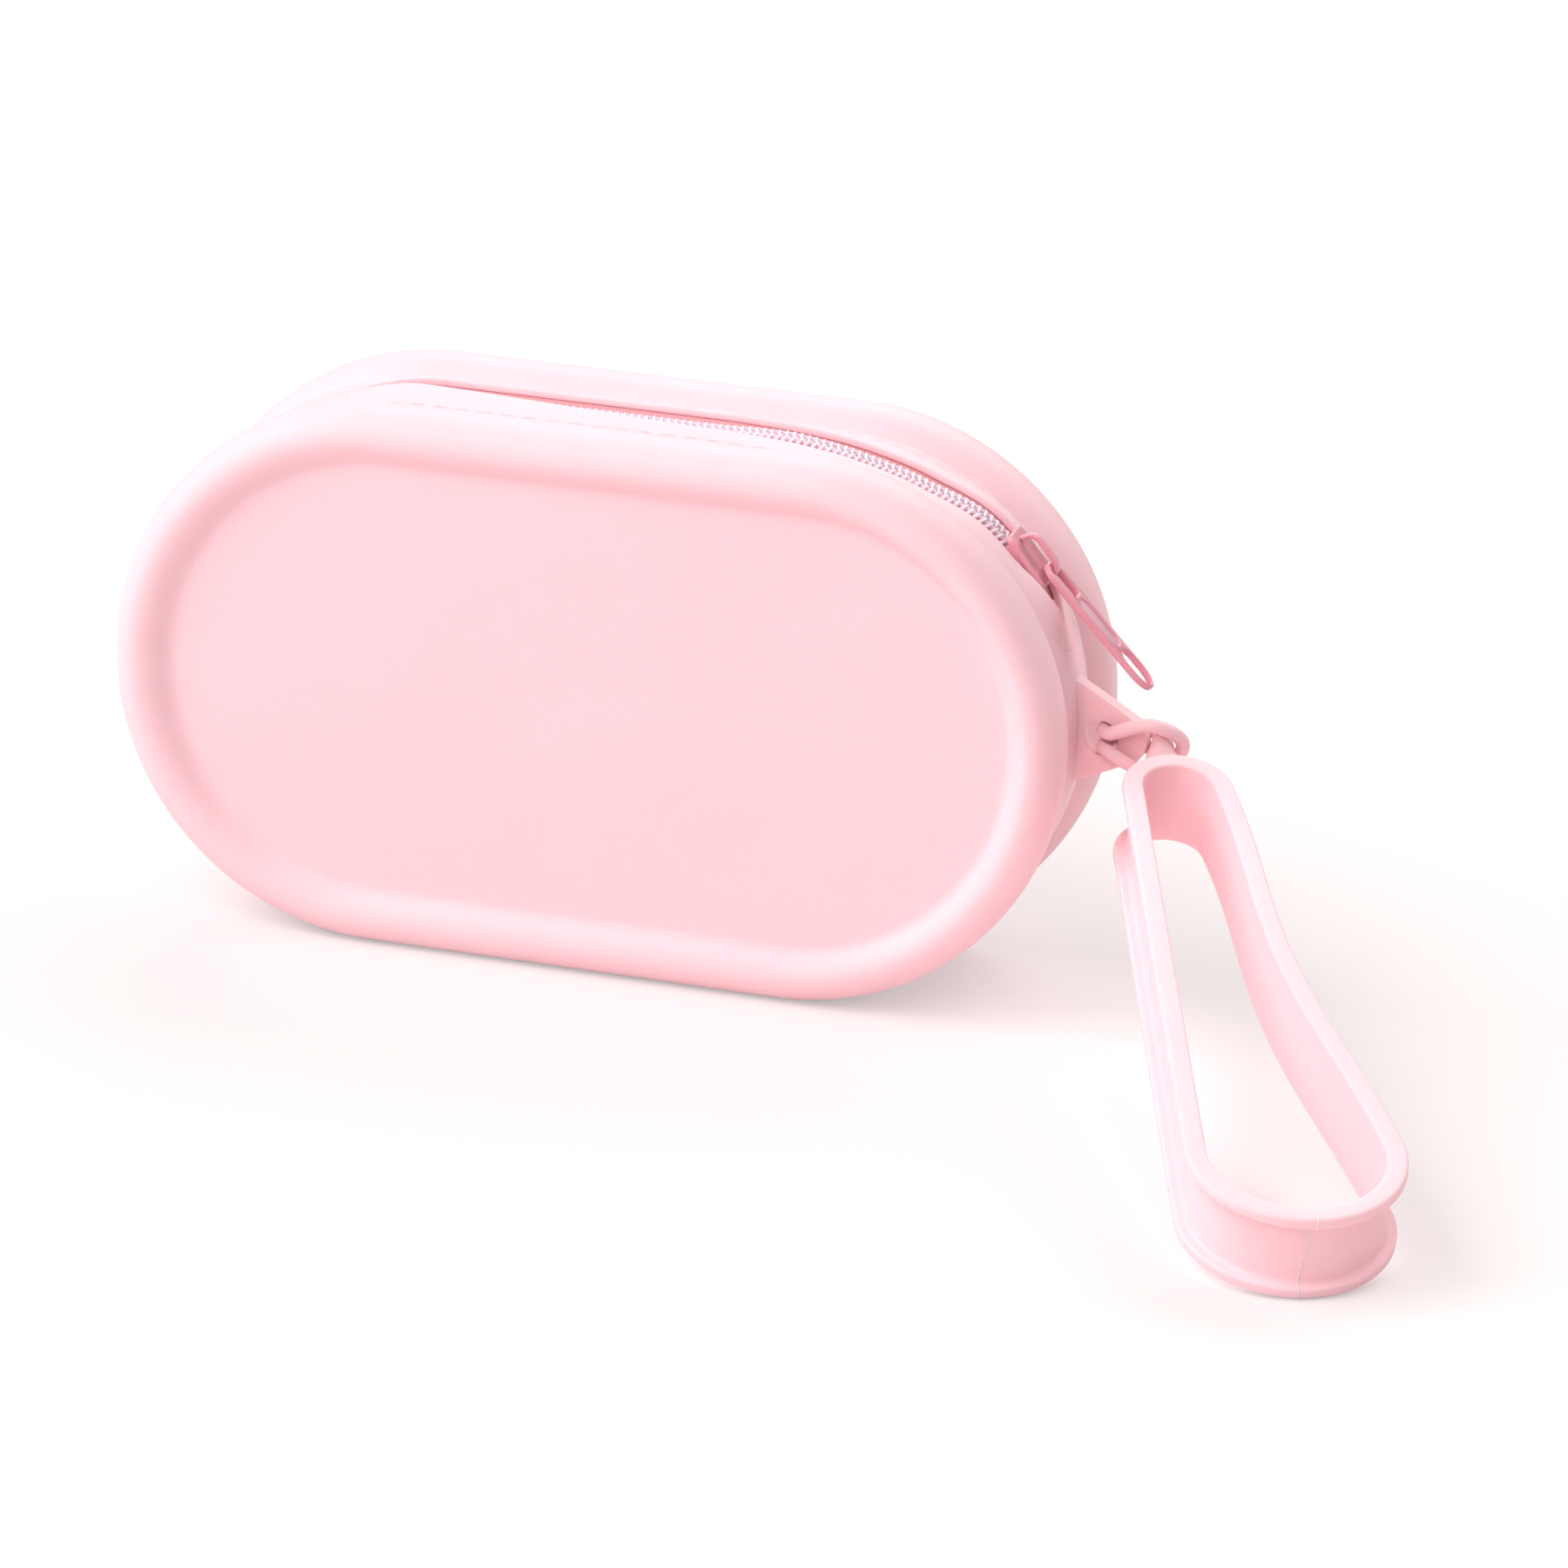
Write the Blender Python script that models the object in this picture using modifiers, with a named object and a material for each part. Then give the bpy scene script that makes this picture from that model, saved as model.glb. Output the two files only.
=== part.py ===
"""Silicone makeup bag: one moulded pill-shaped body, a curved coil zip and a hitched wrist strap.

The bag stands on its two rounded rims. X runs along the bag, the front panel faces -Y and Z is up.
The origin is on the surface the bag stands on, at the middle of the front rim's resting land.
All sizes are in metres.
"""
import math

import bmesh
import bpy
from mathutils import Matrix, Vector

# Body
BODY_LENGTH = 0.1673
BODY_HEIGHT = 0.0950
WALL = 0.0018
RIM_OFFSET = 0.01744
RIM_LAND = 0.0016
RIM_CREST_DEPTH = 0.0066
RIM_CREST_DROP = 0.0048
PANEL_RECESS = 0.0026
PANEL_SLOPE = 0.0059
RIM_ROLL_RADIUS = 0.0082
BAND_HALF_WIDTH = 0.0110
BAND_DROP = 0.0015
BAND_CROWN = 0.0017

# Zip slot, seam and tape
SLOT_WIDTH = 0.0095
SLOT_END_ANGLE = math.radians(66.0)
TAPE_THICKNESS = 0.0005
TAPE_INNER = 0.0010
TAPE_OUTER = 0.0098
TAPE_OVERRUN = math.radians(8.0)
COIL_WIDTH = 0.0019
COIL_HEIGHT = 0.0013
COIL_END_MARGIN = math.radians(2.6)
STOP_LENGTH = 0.0020
STOP_WALL = 0.0004
SEAM_OFFSET = 0.0083
SEAM_END_OFFSET = 0.0050
SEAM_END_LEAD = math.radians(4.0)
SEAM_TAPER = math.radians(14.0)
STITCH_PITCH = 0.0040
THREAD_DIAMETER = 0.0006

# Slider and pull
SLIDER_ANGLE = math.radians(50.2)
SLIDER_LENGTH = 0.0105
SLIDER_REAR_WIDTH = 0.0076
SLIDER_FRONT_WIDTH = 0.0084
SLIDER_CORNER = 0.0012
SLIDER_PLATE = 0.0011
SLIDER_FLANGE = 0.0007
WEDGE_WIDTH = 0.0011
WEDGE_LENGTH = 0.0032
BRIDGE_WIDTH = 0.0018
BRIDGE_THICKNESS = 0.0008
BRIDGE_HEIGHT = 0.0028
BRIDGE_REAR_INSET = 0.0014
BRIDGE_FRONT_INSET = 0.0002
PULL_LENGTH = 0.0273
PULL_WIDTH = 0.0056
PULL_THICKNESS = 0.0012
PULL_BAR = 0.0013
PULL_WINDOW_LENGTH = 0.0060
PULL_WINDOW_CORNER = 0.0005
PULL_RIM = 0.0013
PULL_HOLE_LENGTH = 0.0070
PULL_RECESS = 0.0003
PULL_SLOPE = math.radians(45.3)

# Lug on the right end
LUG_THICKNESS = 0.0030
LUG_TOP_ANGLE = math.radians(77.0)
LUG_BOTTOM_ANGLE = math.radians(101.0)
LUG_LENGTH = 0.0101
LUG_TIP_RADIUS = 0.0042
LUG_HOLE_RADIUS = 0.0030
LUG_HOLE_SETBACK = 0.0038

# Wrist strap and its cord
STRAP_LENGTH = 0.1243
STRAP_TOP_RADIUS = 0.0093
STRAP_BOTTOM_RADIUS = 0.0175
STRAP_BOW = 0.0032
STRAP_HEIGHT = 0.0155
STRAP_WEB = 0.0015
STRAP_RIM = 0.0034
STRAP_LIP = 0.0020
STRAP_HANG = Vector((0.01225, -0.0060, -0.0063))
STRAP_AXIS = Vector((0.4105, -0.8707, -0.2707)).normalized()
STRAP_ACROSS = Vector((0.9045, 0.4264, 0.0)).normalized()
STEM_LENGTH = 0.0065
STEM_ROOT_RADIUS = 0.0032
STEM_TIP_RADIUS = 0.0026
CORD_DIAMETER = 0.0024
CORD_LEAD = 0.0012

# Route of the cord's middle, as places from the middle of the lug's hole
CORD_FAR_LEG = (
    (0.0105, 0.0012, 0.0000), (0.0082, 0.0031, 0.0008), (0.0050, 0.0032, 0.0012),
    (0.0020, 0.0030, 0.0014), (0.0005, 0.0016, 0.0014), (0.0004, 0.0000, 0.0014),
)
CORD_BIGHT = (
    (0.0005, -0.0016, 0.0014), (0.0020, -0.0031, 0.0016), (0.0050, -0.0035, 0.0029),
    (0.0075, -0.0035, 0.0038), (0.0095, -0.0032, 0.0039), (0.0115, -0.0019, 0.0030),
    (0.0130, 0.0002, 0.0014), (0.0135, 0.0018, -0.0006), (0.0126, 0.0022, -0.0027),
    (0.0110, 0.0010, -0.0044), (0.0092, -0.0006, -0.0050), (0.0073, -0.0021, -0.0044),
    (0.0050, -0.0033, -0.0031), (0.0020, -0.0031, -0.0017), (0.0005, -0.0016, -0.0014),
)
CORD_NEAR_LEG = (
    (0.0004, 0.0000, -0.0014), (0.0005, 0.0016, -0.0014), (0.0020, 0.0030, -0.0014),
    (0.0050, 0.0032, -0.0016), (0.0079, 0.0030, -0.0022), (0.0090, 0.0016, -0.0025),
    (0.0090, -0.0002, -0.0024),
)

# Fits and mesh fineness
GAP = 0.0003
SEAT_GAP = 0.00045
ARC_STEPS = 26
CURVE_STEPS = 4
MERGE = 0.00001

# Worked out from the sizes above
RIM_RADIUS = BODY_HEIGHT / 2
END_X = BODY_LENGTH / 2 - RIM_RADIUS
BAND_RADIUS = RIM_RADIUS - BAND_DROP
BAND_INNER = BAND_RADIUS - WALL
TAPE_TOP = BAND_INNER - SEAT_GAP
COIL_BASE = TAPE_TOP + GAP
COIL_TOP = COIL_BASE + COIL_HEIGHT
PLATE_BASE = COIL_TOP + GAP
PLATE_TOP = PLATE_BASE + SLIDER_PLATE
SLOT_HALF = SLOT_WIDTH / 2
COIL_END_ANGLE = SLOT_END_ANGLE - COIL_END_MARGIN
TAPE_END_ANGLE = SLOT_END_ANGLE + TAPE_OVERRUN
SEAM_END_ANGLE = SLOT_END_ANGLE + SEAM_END_LEAD
COIL_SPREAD = (WEDGE_WIDTH + GAP) / 2
LEFT_CENTRE = Vector((-END_X, 0.0, RIM_RADIUS))
RIGHT_CENTRE = Vector((END_X, 0.0, RIM_RADIUS))
LUG_REACH = RIM_RADIUS + LUG_LENGTH
LUG_HOLE_REACH = LUG_REACH - LUG_TIP_RADIUS - LUG_HOLE_SETBACK
LUG_HOLE_PLACE = RIGHT_CENTRE + Vector((LUG_HOLE_REACH, 0.0, 0.0))
STRAP_TOP_PLACE = LUG_HOLE_PLACE + STRAP_HANG
STRAP_NORMAL = STRAP_ACROSS.cross(STRAP_AXIS).normalized() * -1.0
DATUM = Vector((0.0, RIM_OFFSET, 0.0))


def clear_scene():
    """Remove every object and collection that the start file holds."""
    for item in list(bpy.data.objects):
        bpy.data.objects.remove(item, do_unlink=True)
    for group in list(bpy.data.collections):
        bpy.data.collections.remove(group)


def new_collection(name):
    """Make a collection in the scene."""
    group = bpy.data.collections.new(name)
    bpy.context.scene.collection.children.link(group)
    return group


def new_material(name, colour, roughness, metallic=0.0):
    """Make a Principled material with one colour."""
    material = bpy.data.materials.new(name)
    material.use_nodes = True
    shader = material.node_tree.nodes["Principled BSDF"]
    shader.inputs["Base Color"].default_value = (*colour, 1.0)
    shader.inputs["Roughness"].default_value = roughness
    shader.inputs["Metallic"].default_value = metallic
    material.diffuse_color = (*colour, 1.0)
    return material


def add_object(name, mesh, group, material=None):
    """Put a mesh in the scene as a named object."""
    item = bpy.data.objects.new(name, mesh)
    group.objects.link(item)
    if material is not None:
        mesh.materials.clear()
        mesh.materials.append(material)
    return item


def mesh_from(bm, name):
    """Turn a bmesh into a mesh with its doubles merged and its faces pointing out."""
    bmesh.ops.remove_doubles(bm, verts=bm.verts, dist=MERGE)
    bmesh.ops.recalc_face_normals(bm, faces=bm.faces)
    mesh = bpy.data.meshes.new(name)
    bm.to_mesh(mesh)
    bm.free()
    mesh.shade_smooth()
    mesh.set_sharp_from_angle(angle=math.radians(35.0))
    return mesh


def add_cutter(name, mesh, group, parent):
    """Add an object that is a tool for a Boolean and not a piece."""
    item = add_object(name, mesh, group)
    item.parent = parent
    item.display_type = "WIRE"
    item.hide_render = True
    return item


def boolean(item, tool, operation):
    """Join or cut an object with another one."""
    modifier = item.modifiers.new(tool.name, "BOOLEAN")
    modifier.operation = operation
    modifier.solver = "EXACT"
    modifier.object = tool
    return modifier


def evaluated_mesh(item):
    """Return an object's finished mesh, with curves and modifiers worked out."""
    bpy.context.view_layer.update()
    graph = bpy.context.evaluated_depsgraph_get()
    return bpy.data.meshes.new_from_object(item.evaluated_get(graph))


def outer_radius(offset):
    """Radius of the side band's outer surface at a distance from the middle plane."""
    return BAND_RADIUS - BAND_CROWN * (offset / BAND_HALF_WIDTH) ** 2


def around(angle, offset, radius):
    """Point on an end of the pill at an angle from the top, positive to the right."""
    centre = RIGHT_CENTRE if angle >= 0 else LEFT_CENTRE
    return centre + Vector((radius * math.sin(angle), offset, radius * math.cos(angle)))


def rim_section():
    """Points (offset, radius) of the front half of the outer skin, from the panel to the middle."""
    crest = RIM_OFFSET + RIM_CREST_DEPTH
    crest_radius = RIM_RADIUS - RIM_CREST_DROP
    panel = crest - PANEL_RECESS
    land = RIM_LAND / 2
    points = []
    for step in range(CURVE_STEPS + 1):
        share = step / CURVE_STEPS
        rise = (1.0 - math.cos(math.pi * share)) / 2
        radius = crest_radius - PANEL_SLOPE * (1.0 - share)
        points.append((panel + PANEL_RECESS * rise, radius))
    for step in range(1, CURVE_STEPS + 1):
        turn = math.pi / 2 * step / CURVE_STEPS
        offset = RIM_OFFSET + land + (RIM_CREST_DEPTH - land) * math.cos(turn)
        points.append((offset, crest_radius + RIM_CREST_DROP * math.sin(turn)))
    crease_turn = math.asin((RIM_OFFSET - land - BAND_HALF_WIDTH) / RIM_ROLL_RADIUS)
    crease_radius = outer_radius(BAND_HALF_WIDTH)
    roll_drop = RIM_ROLL_RADIUS * (1.0 - math.cos(crease_turn))
    for step in range(CURVE_STEPS + 1):
        turn = crease_turn * step / CURVE_STEPS
        drop = RIM_ROLL_RADIUS * (1.0 - math.cos(turn))
        radius = RIM_RADIUS - drop * (RIM_RADIUS - crease_radius) / roll_drop
        points.append((RIM_OFFSET - land - RIM_ROLL_RADIUS * math.sin(turn), radius))
    for step in range(1, CURVE_STEPS):
        offset = BAND_HALF_WIDTH * (1.0 - step / CURVE_STEPS)
        points.append((offset, outer_radius(offset)))
    return points


def pill_skin(name):
    """Closed outer skin: the rim section turned round both ends, run along and capped by two panels."""
    half = rim_section()
    section = [(-offset, radius) for offset, radius in half]
    section.append((0.0, BAND_RADIUS))
    section.extend((offset, radius) for offset, radius in reversed(half))
    bm = bmesh.new()
    verts = [bm.verts.new(LEFT_CENTRE + Vector((0.0, offset, radius))) for offset, radius in section]
    edges = [bm.edges.new(pair) for pair in zip(verts, verts[1:])]
    for centre, shift in ((LEFT_CENTRE, 2 * END_X), (RIGHT_CENTRE, -2 * END_X)):
        turned = bmesh.ops.spin(bm, geom=verts + edges, cent=centre, axis=(0, 1, 0),
                                angle=-math.pi, steps=ARC_STEPS)["geom_last"]
        last = [part for part in turned if isinstance(part, bmesh.types.BMEdge)]
        run = bmesh.ops.extrude_edge_only(bm, edges=last)["geom"]
        verts = [part for part in run if isinstance(part, bmesh.types.BMVert)]
        edges = [part for part in run if isinstance(part, bmesh.types.BMEdge)]
        bmesh.ops.translate(bm, verts=verts, vec=(shift, 0, 0))
    bmesh.ops.remove_doubles(bm, verts=bm.verts, dist=MERGE)
    for side in (-1, 1):
        rim = [edge for edge in bm.edges if edge.is_boundary and edge.verts[0].co.y * side > 0]
        bmesh.ops.edgeloop_fill(bm, edges=rim)
    return mesh_from(bm, name)


def swept_solid(name, section, start, stop, steps, spread=None):
    """Solid made by running a closed section (offset, radius) round the ends and along the top."""
    bm = bmesh.new()
    verts = [bm.verts.new(around(start, offset, radius)) for offset, radius in section]
    face = bm.faces.new(verts)
    for centre, turn in ((LEFT_CENTRE, -start), (RIGHT_CENTRE, stop)):
        if turn <= 0:
            continue
        geometry = [face, *face.edges, *face.verts]
        turned = bmesh.ops.spin(bm, geom=geometry, cent=centre, axis=(0, 1, 0), angle=turn,
                                steps=steps)["geom_last"]
        face = next(part for part in turned if isinstance(part, bmesh.types.BMFace))
        if centre is LEFT_CENTRE:
            run = bmesh.ops.extrude_face_region(bm, geom=[face])["geom"]
            bmesh.ops.delete(bm, geom=[face], context="FACES_ONLY")
            face = next(part for part in run if isinstance(part, bmesh.types.BMFace))
            bmesh.ops.translate(bm, verts=face.verts, vec=(2 * END_X, 0, 0))
    if spread is not None:
        for vert in bm.verts:
            angle = math.atan2(vert.co.x - END_X, vert.co.z - RIM_RADIUS) if vert.co.x > END_X else 0.0
            vert.co.y += spread(angle)
    return mesh_from(bm, name)


def box_mesh(name, low, high):
    """Box between two corners."""
    bm = bmesh.new()
    bmesh.ops.create_cube(bm, size=1.0)
    size = Vector(high) - Vector(low)
    centre = (Vector(high) + Vector(low)) / 2
    bmesh.ops.scale(bm, vec=size, verts=bm.verts)
    bmesh.ops.translate(bm, vec=centre, verts=bm.verts)
    return mesh_from(bm, name)


def rod_mesh(name, start, end, radius, end_radius=None, segments=24):
    """Round rod or cone between two points."""
    start = Vector(start)
    end = Vector(end)
    axis = end - start
    bm = bmesh.new()
    bmesh.ops.create_cone(bm, cap_ends=True, segments=segments, radius1=radius,
                          radius2=end_radius or radius, depth=axis.length)
    turn = axis.to_track_quat("Z", "Y").to_matrix().to_4x4()
    bmesh.ops.transform(bm, matrix=Matrix.Translation((start + end) / 2) @ turn, verts=bm.verts)
    return mesh_from(bm, name)


def outline_mesh(name, loops, thickness, place):
    """Plate from flat outlines, the first one its edge and the others holes, as a filled 2D curve."""
    curve = bpy.data.curves.new(name, "CURVE")
    curve.dimensions = "2D"
    curve.fill_mode = "BOTH"
    curve.extrude = thickness / 2
    for loop in loops:
        spline = curve.splines.new("POLY")
        spline.points.add(len(loop) - 1)
        for point, (across, up) in zip(spline.points, loop):
            point.co = (across, up, 0.0, 1.0)
        spline.use_cyclic_u = True
    guide = bpy.data.objects.new(name, curve)
    bpy.context.scene.collection.objects.link(guide)
    mesh = evaluated_mesh(guide)
    bpy.data.objects.remove(guide, do_unlink=True)
    bm = bmesh.new()
    bm.from_mesh(mesh)
    bmesh.ops.transform(bm, matrix=place, verts=bm.verts)
    return mesh_from(bm, name)


def arc_points(centre, radius, start, stop, steps):
    """Points along an arc in a flat outline."""
    points = []
    for step in range(steps + 1):
        angle = start + (stop - start) * step / steps
        points.append((centre[0] + radius * math.cos(angle), centre[1] + radius * math.sin(angle)))
    return points


def slot_outline(low, high, half_width, steps=6):
    """Flat outline with round ends, running from low to high along X."""
    right = arc_points((high - half_width, 0.0), half_width, -math.pi / 2, math.pi / 2, steps)
    left = arc_points((low + half_width, 0.0), half_width, math.pi / 2, 3 * math.pi / 2, steps)
    return right + left


def window_outline(low, high, half_width, corner):
    """Flat outline of an oblong window with small round corners, running from low to high along X."""
    quarter = math.pi / 2
    points = []
    for number, (along_sign, across_sign) in enumerate(((1, -1), (1, 1), (-1, 1), (-1, -1))):
        edge = high - corner if along_sign > 0 else low + corner
        start = (number - 1) * quarter
        centre = (edge, across_sign * (half_width - corner))
        points += arc_points(centre, corner, start, start + quarter, 3)
    return points


def tube_mesh(name, points, diameter, sides=8, closed=False):
    """Cord through a list of points, with 4 or 8 sides and closed ends, or joined into a ring."""
    curve = bpy.data.curves.new(name, "CURVE")
    curve.dimensions = "3D"
    curve.bevel_depth = diameter / 2
    curve.bevel_resolution = sides // 4 - 1
    curve.use_fill_caps = not closed
    spline = curve.splines.new("POLY")
    spline.use_cyclic_u = closed
    spline.points.add(len(points) - 1)
    for target, source in zip(spline.points, points):
        target.co = (*source, 1.0)
    guide = bpy.data.objects.new(name, curve)
    bpy.context.scene.collection.objects.link(guide)
    mesh = evaluated_mesh(guide)
    bpy.data.objects.remove(guide, do_unlink=True)
    bm = bmesh.new()
    bm.from_mesh(mesh)
    return mesh_from(bm, name)


def smooth_route(route, per_span):
    """Points of a smooth curve through a route's own points."""
    points = []
    padded = [2 * route[0] - route[1], *route, 2 * route[-1] - route[-2]]
    for index in range(1, len(padded) - 2):
        before, here, there, after = padded[index - 1:index + 3]
        for step in range(per_span):
            t = step / per_span
            points.append(0.5 * (2 * here + (there - before) * t
                                 + (2 * before - 5 * here + 4 * there - after) * t ** 2
                                 + (3 * here - before - 3 * there + after) * t ** 3))
    points.append(route[-1])
    return points


def make_lug(tools, datum):
    """Flat fin that grows out of the side band, with a round tip."""
    root = (BAND_INNER + BAND_RADIUS) / 2
    tip_reach = LUG_REACH - LUG_TIP_RADIUS
    loop = []
    for step in range(5):
        angle = LUG_BOTTOM_ANGLE + (LUG_TOP_ANGLE - LUG_BOTTOM_ANGLE) * step / 4
        loop.append((root * math.sin(angle), root * math.cos(angle)))
    loop.extend(arc_points((tip_reach, 0.0), LUG_TIP_RADIUS, math.radians(62), math.radians(-62), 8))
    place = Matrix.Translation(RIGHT_CENTRE) @ Matrix.Rotation(math.pi / 2, 4, "X")
    mesh = outline_mesh("lug_form", [loop], LUG_THICKNESS, place)
    return add_cutter("lug_form", mesh, tools, datum)


def slot_cutters(tools, datum):
    """Tools that cut the zip slot: a curved bar along the top and a round rod at each end."""
    depth = BAND_INNER - WALL
    reach = RIM_RADIUS + WALL
    end = SLOT_END_ANGLE - SLOT_HALF / BAND_RADIUS
    section = [(-SLOT_HALF, depth), (SLOT_HALF, depth), (SLOT_HALF, reach), (-SLOT_HALF, reach)]
    bar = swept_solid("slot_bar", section, -end, end, ARC_STEPS // 2)
    cutters = [add_cutter("slot_bar", bar, tools, datum)]
    for name, angle in (("slot_end_left", -end), ("slot_end_right", end)):
        rod = rod_mesh(name, around(angle, 0.0, depth), around(angle, 0.0, reach), SLOT_HALF)
        cutters.append(add_cutter(name, rod, tools, datum))
    return cutters


def make_body(parts, tools, material, datum):
    """One-piece moulded body: skin, wall, lug, zip slot and the hole in the lug."""
    body = add_object("body_shell", pill_skin("body_shell"), parts, material)
    wall = body.modifiers.new("wall", "SOLIDIFY")
    wall.thickness = WALL
    wall.offset = -1.0
    wall.use_even_offset = True
    boolean(body, make_lug(tools, datum), "UNION")
    for tool in slot_cutters(tools, datum):
        boolean(body, tool, "DIFFERENCE")
    reach = Vector((0.0, LUG_THICKNESS, 0.0))
    hole = rod_mesh("lug_hole", LUG_HOLE_PLACE - reach, LUG_HOLE_PLACE + reach, LUG_HOLE_RADIUS)
    boolean(body, add_cutter("lug_hole", hole, tools, datum), "DIFFERENCE")
    body.parent = datum
    return body


def tape_section(side):
    """Section of one zip tape, which lies under the band and follows its crown."""
    offsets = [TAPE_INNER, SLOT_HALF, (SLOT_HALF + TAPE_OUTER) / 2, TAPE_OUTER]
    top = [(side * offset, TAPE_TOP - (BAND_RADIUS - outer_radius(offset))) for offset in offsets]
    bottom = [(offset, radius - TAPE_THICKNESS) for offset, radius in reversed(top)]
    return top + bottom


def coil_section(side):
    """Section of one coil, flat on its tape and rounded on top."""
    low = side * GAP / 2
    high = side * (GAP / 2 + COIL_WIDTH)
    middle = (low + high) / 2
    base = COIL_BASE - (BAND_RADIUS - outer_radius(COIL_WIDTH))
    shoulder = base + COIL_HEIGHT * 0.7
    top = base + COIL_HEIGHT
    return [(low, base), (high, base), (high, shoulder), ((high + middle) / 2, top),
            ((low + middle) / 2, top), (low, shoulder)]


def coil_spread(side):
    """Rule that parts the coils at the slider: closed behind it, open round its wedge."""
    rear = SLIDER_ANGLE - SLIDER_LENGTH / 2 / PLATE_BASE
    wedge = SLIDER_ANGLE + (SLIDER_LENGTH / 2 - WEDGE_LENGTH) / PLATE_BASE - math.radians(1.5)

    def spread(angle):
        share = min(max((angle - rear) / (wedge - rear), 0.0), 1.0)
        return side * COIL_SPREAD * share * share * (3 - 2 * share)

    return spread


def make_zip(parts, materials, datum):
    """Tapes, coils and stops that stay with the body."""
    made = []
    stop_turn = STOP_LENGTH / COIL_TOP
    for name, side in (("front", -1), ("back", 1)):
        tape = swept_solid(f"zip_tape_{name}", tape_section(side), -TAPE_END_ANGLE, TAPE_END_ANGLE,
                           ARC_STEPS // 2)
        made.append(add_object(f"zip_tape_{name}", tape, parts, materials["tape"]))
        coil = swept_solid(f"zip_coil_{name}", coil_section(side), -COIL_END_ANGLE, COIL_END_ANGLE,
                           ARC_STEPS, coil_spread(side))
        made.append(add_object(f"zip_coil_{name}", coil, parts, materials["coil"]))
        low = side * (COIL_SPREAD + GAP / 2 - GAP - STOP_WALL)
        high = side * (COIL_SPREAD + GAP / 2 + COIL_WIDTH + GAP + STOP_WALL)
        stop = stop_mesh(f"top_stop_{name}", low, high, COIL_END_ANGLE - stop_turn)
        made.append(add_object(f"top_stop_{name}", stop, parts, materials["stop"]))
    edge = GAP / 2 + COIL_WIDTH + GAP + STOP_WALL
    stop = stop_mesh("bottom_stop", -edge, edge, -COIL_END_ANGLE)
    made.append(add_object("bottom_stop", stop, parts, materials["stop"]))
    for item in made:
        item.parent = datum
    return made


def stop_mesh(name, low, high, angle):
    """Staple over a coil: a roof and two legs, set at an angle on the arc."""
    left, right = min(low, high), max(low, high)
    drop = BAND_RADIUS - outer_radius(COIL_WIDTH)
    foot = COIL_BASE - drop
    roof = COIL_TOP - drop + GAP
    section = [(left, foot), (left + STOP_WALL, foot), (left + STOP_WALL, roof),
               (right - STOP_WALL, roof), (right - STOP_WALL, foot), (right, foot),
               (right, roof + STOP_WALL), (left, roof + STOP_WALL)]
    bm = bmesh.new()
    verts = [bm.verts.new(around(angle, offset, radius)) for offset, radius in section]
    face = bm.faces.new(verts)
    centre = RIGHT_CENTRE if angle >= 0 else LEFT_CENTRE
    bmesh.ops.spin(bm, geom=[face, *face.edges, *face.verts], cent=centre, axis=(0, 1, 0),
                   angle=STOP_LENGTH / COIL_TOP, steps=1)
    return mesh_from(bm, name)


def along(distance, offset, lift):
    """Point at a height over the band, at a distance along it from the top's middle."""
    beyond = abs(distance) - END_X
    radius = outer_radius(offset) + lift
    if beyond <= 0:
        return Vector((distance, offset, RIM_RADIUS + radius))
    return around(math.copysign(beyond / BAND_RADIUS, distance), offset, radius)


def seam_corners():
    """Corners (distance along the top, offset) of the closed seam round the zip, tapered at its ends."""
    end = END_X + BAND_RADIUS * SEAM_END_ANGLE
    taper = END_X + BAND_RADIUS * (SEAM_END_ANGLE - SEAM_TAPER)
    front = [(-end, -SEAM_END_OFFSET), (-taper, -SEAM_OFFSET), (taper, -SEAM_OFFSET), (end, -SEAM_END_OFFSET)]
    return front + [(distance, -offset) for distance, offset in reversed(front)]


def seam_route(lift):
    """Points of the seam at stitch pitch, at a height over the band."""
    points = []
    corners = seam_corners()
    for start, stop in zip(corners, corners[1:] + corners[:1]):
        start = Vector(start)
        span = Vector(stop) - start
        count = max(1, round(span.length / STITCH_PITCH))
        for index in range(count):
            place = start + span * index / count
            points.append(along(place.x, place.y, lift))
    return points


def make_seam(parts, material, datum):
    """Needle thread on the band and bobbin thread under the tapes, each one closed line."""
    outside = GAP + THREAD_DIAMETER / 2
    inside = -(WALL + SEAT_GAP + TAPE_THICKNESS + GAP + THREAD_DIAMETER)
    for name, lift in (("seam_needle_thread", outside), ("seam_bobbin_thread", inside)):
        mesh = tube_mesh(name, seam_route(lift), THREAD_DIAMETER, sides=4, closed=True)
        item = add_object(name, mesh, parts, material)
        item.parent = datum


def slider_outline():
    """Outline of a slider plate, wider at the shoulders in front."""
    front = SLIDER_LENGTH / 2
    wide = SLIDER_FRONT_WIDTH / 2
    narrow = SLIDER_REAR_WIDTH / 2
    corner = SLIDER_CORNER
    quarter = math.pi / 2
    points = arc_points((front - corner, wide - corner), corner, 0.0, quarter, 3)
    points += arc_points((corner - front, narrow - corner), corner, quarter, 2 * quarter, 3)
    points += arc_points((corner - front, corner - narrow), corner, 2 * quarter, 3 * quarter, 3)
    points += arc_points((front - corner, corner - wide), corner, 3 * quarter, 4 * quarter, 3)
    return points


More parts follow.
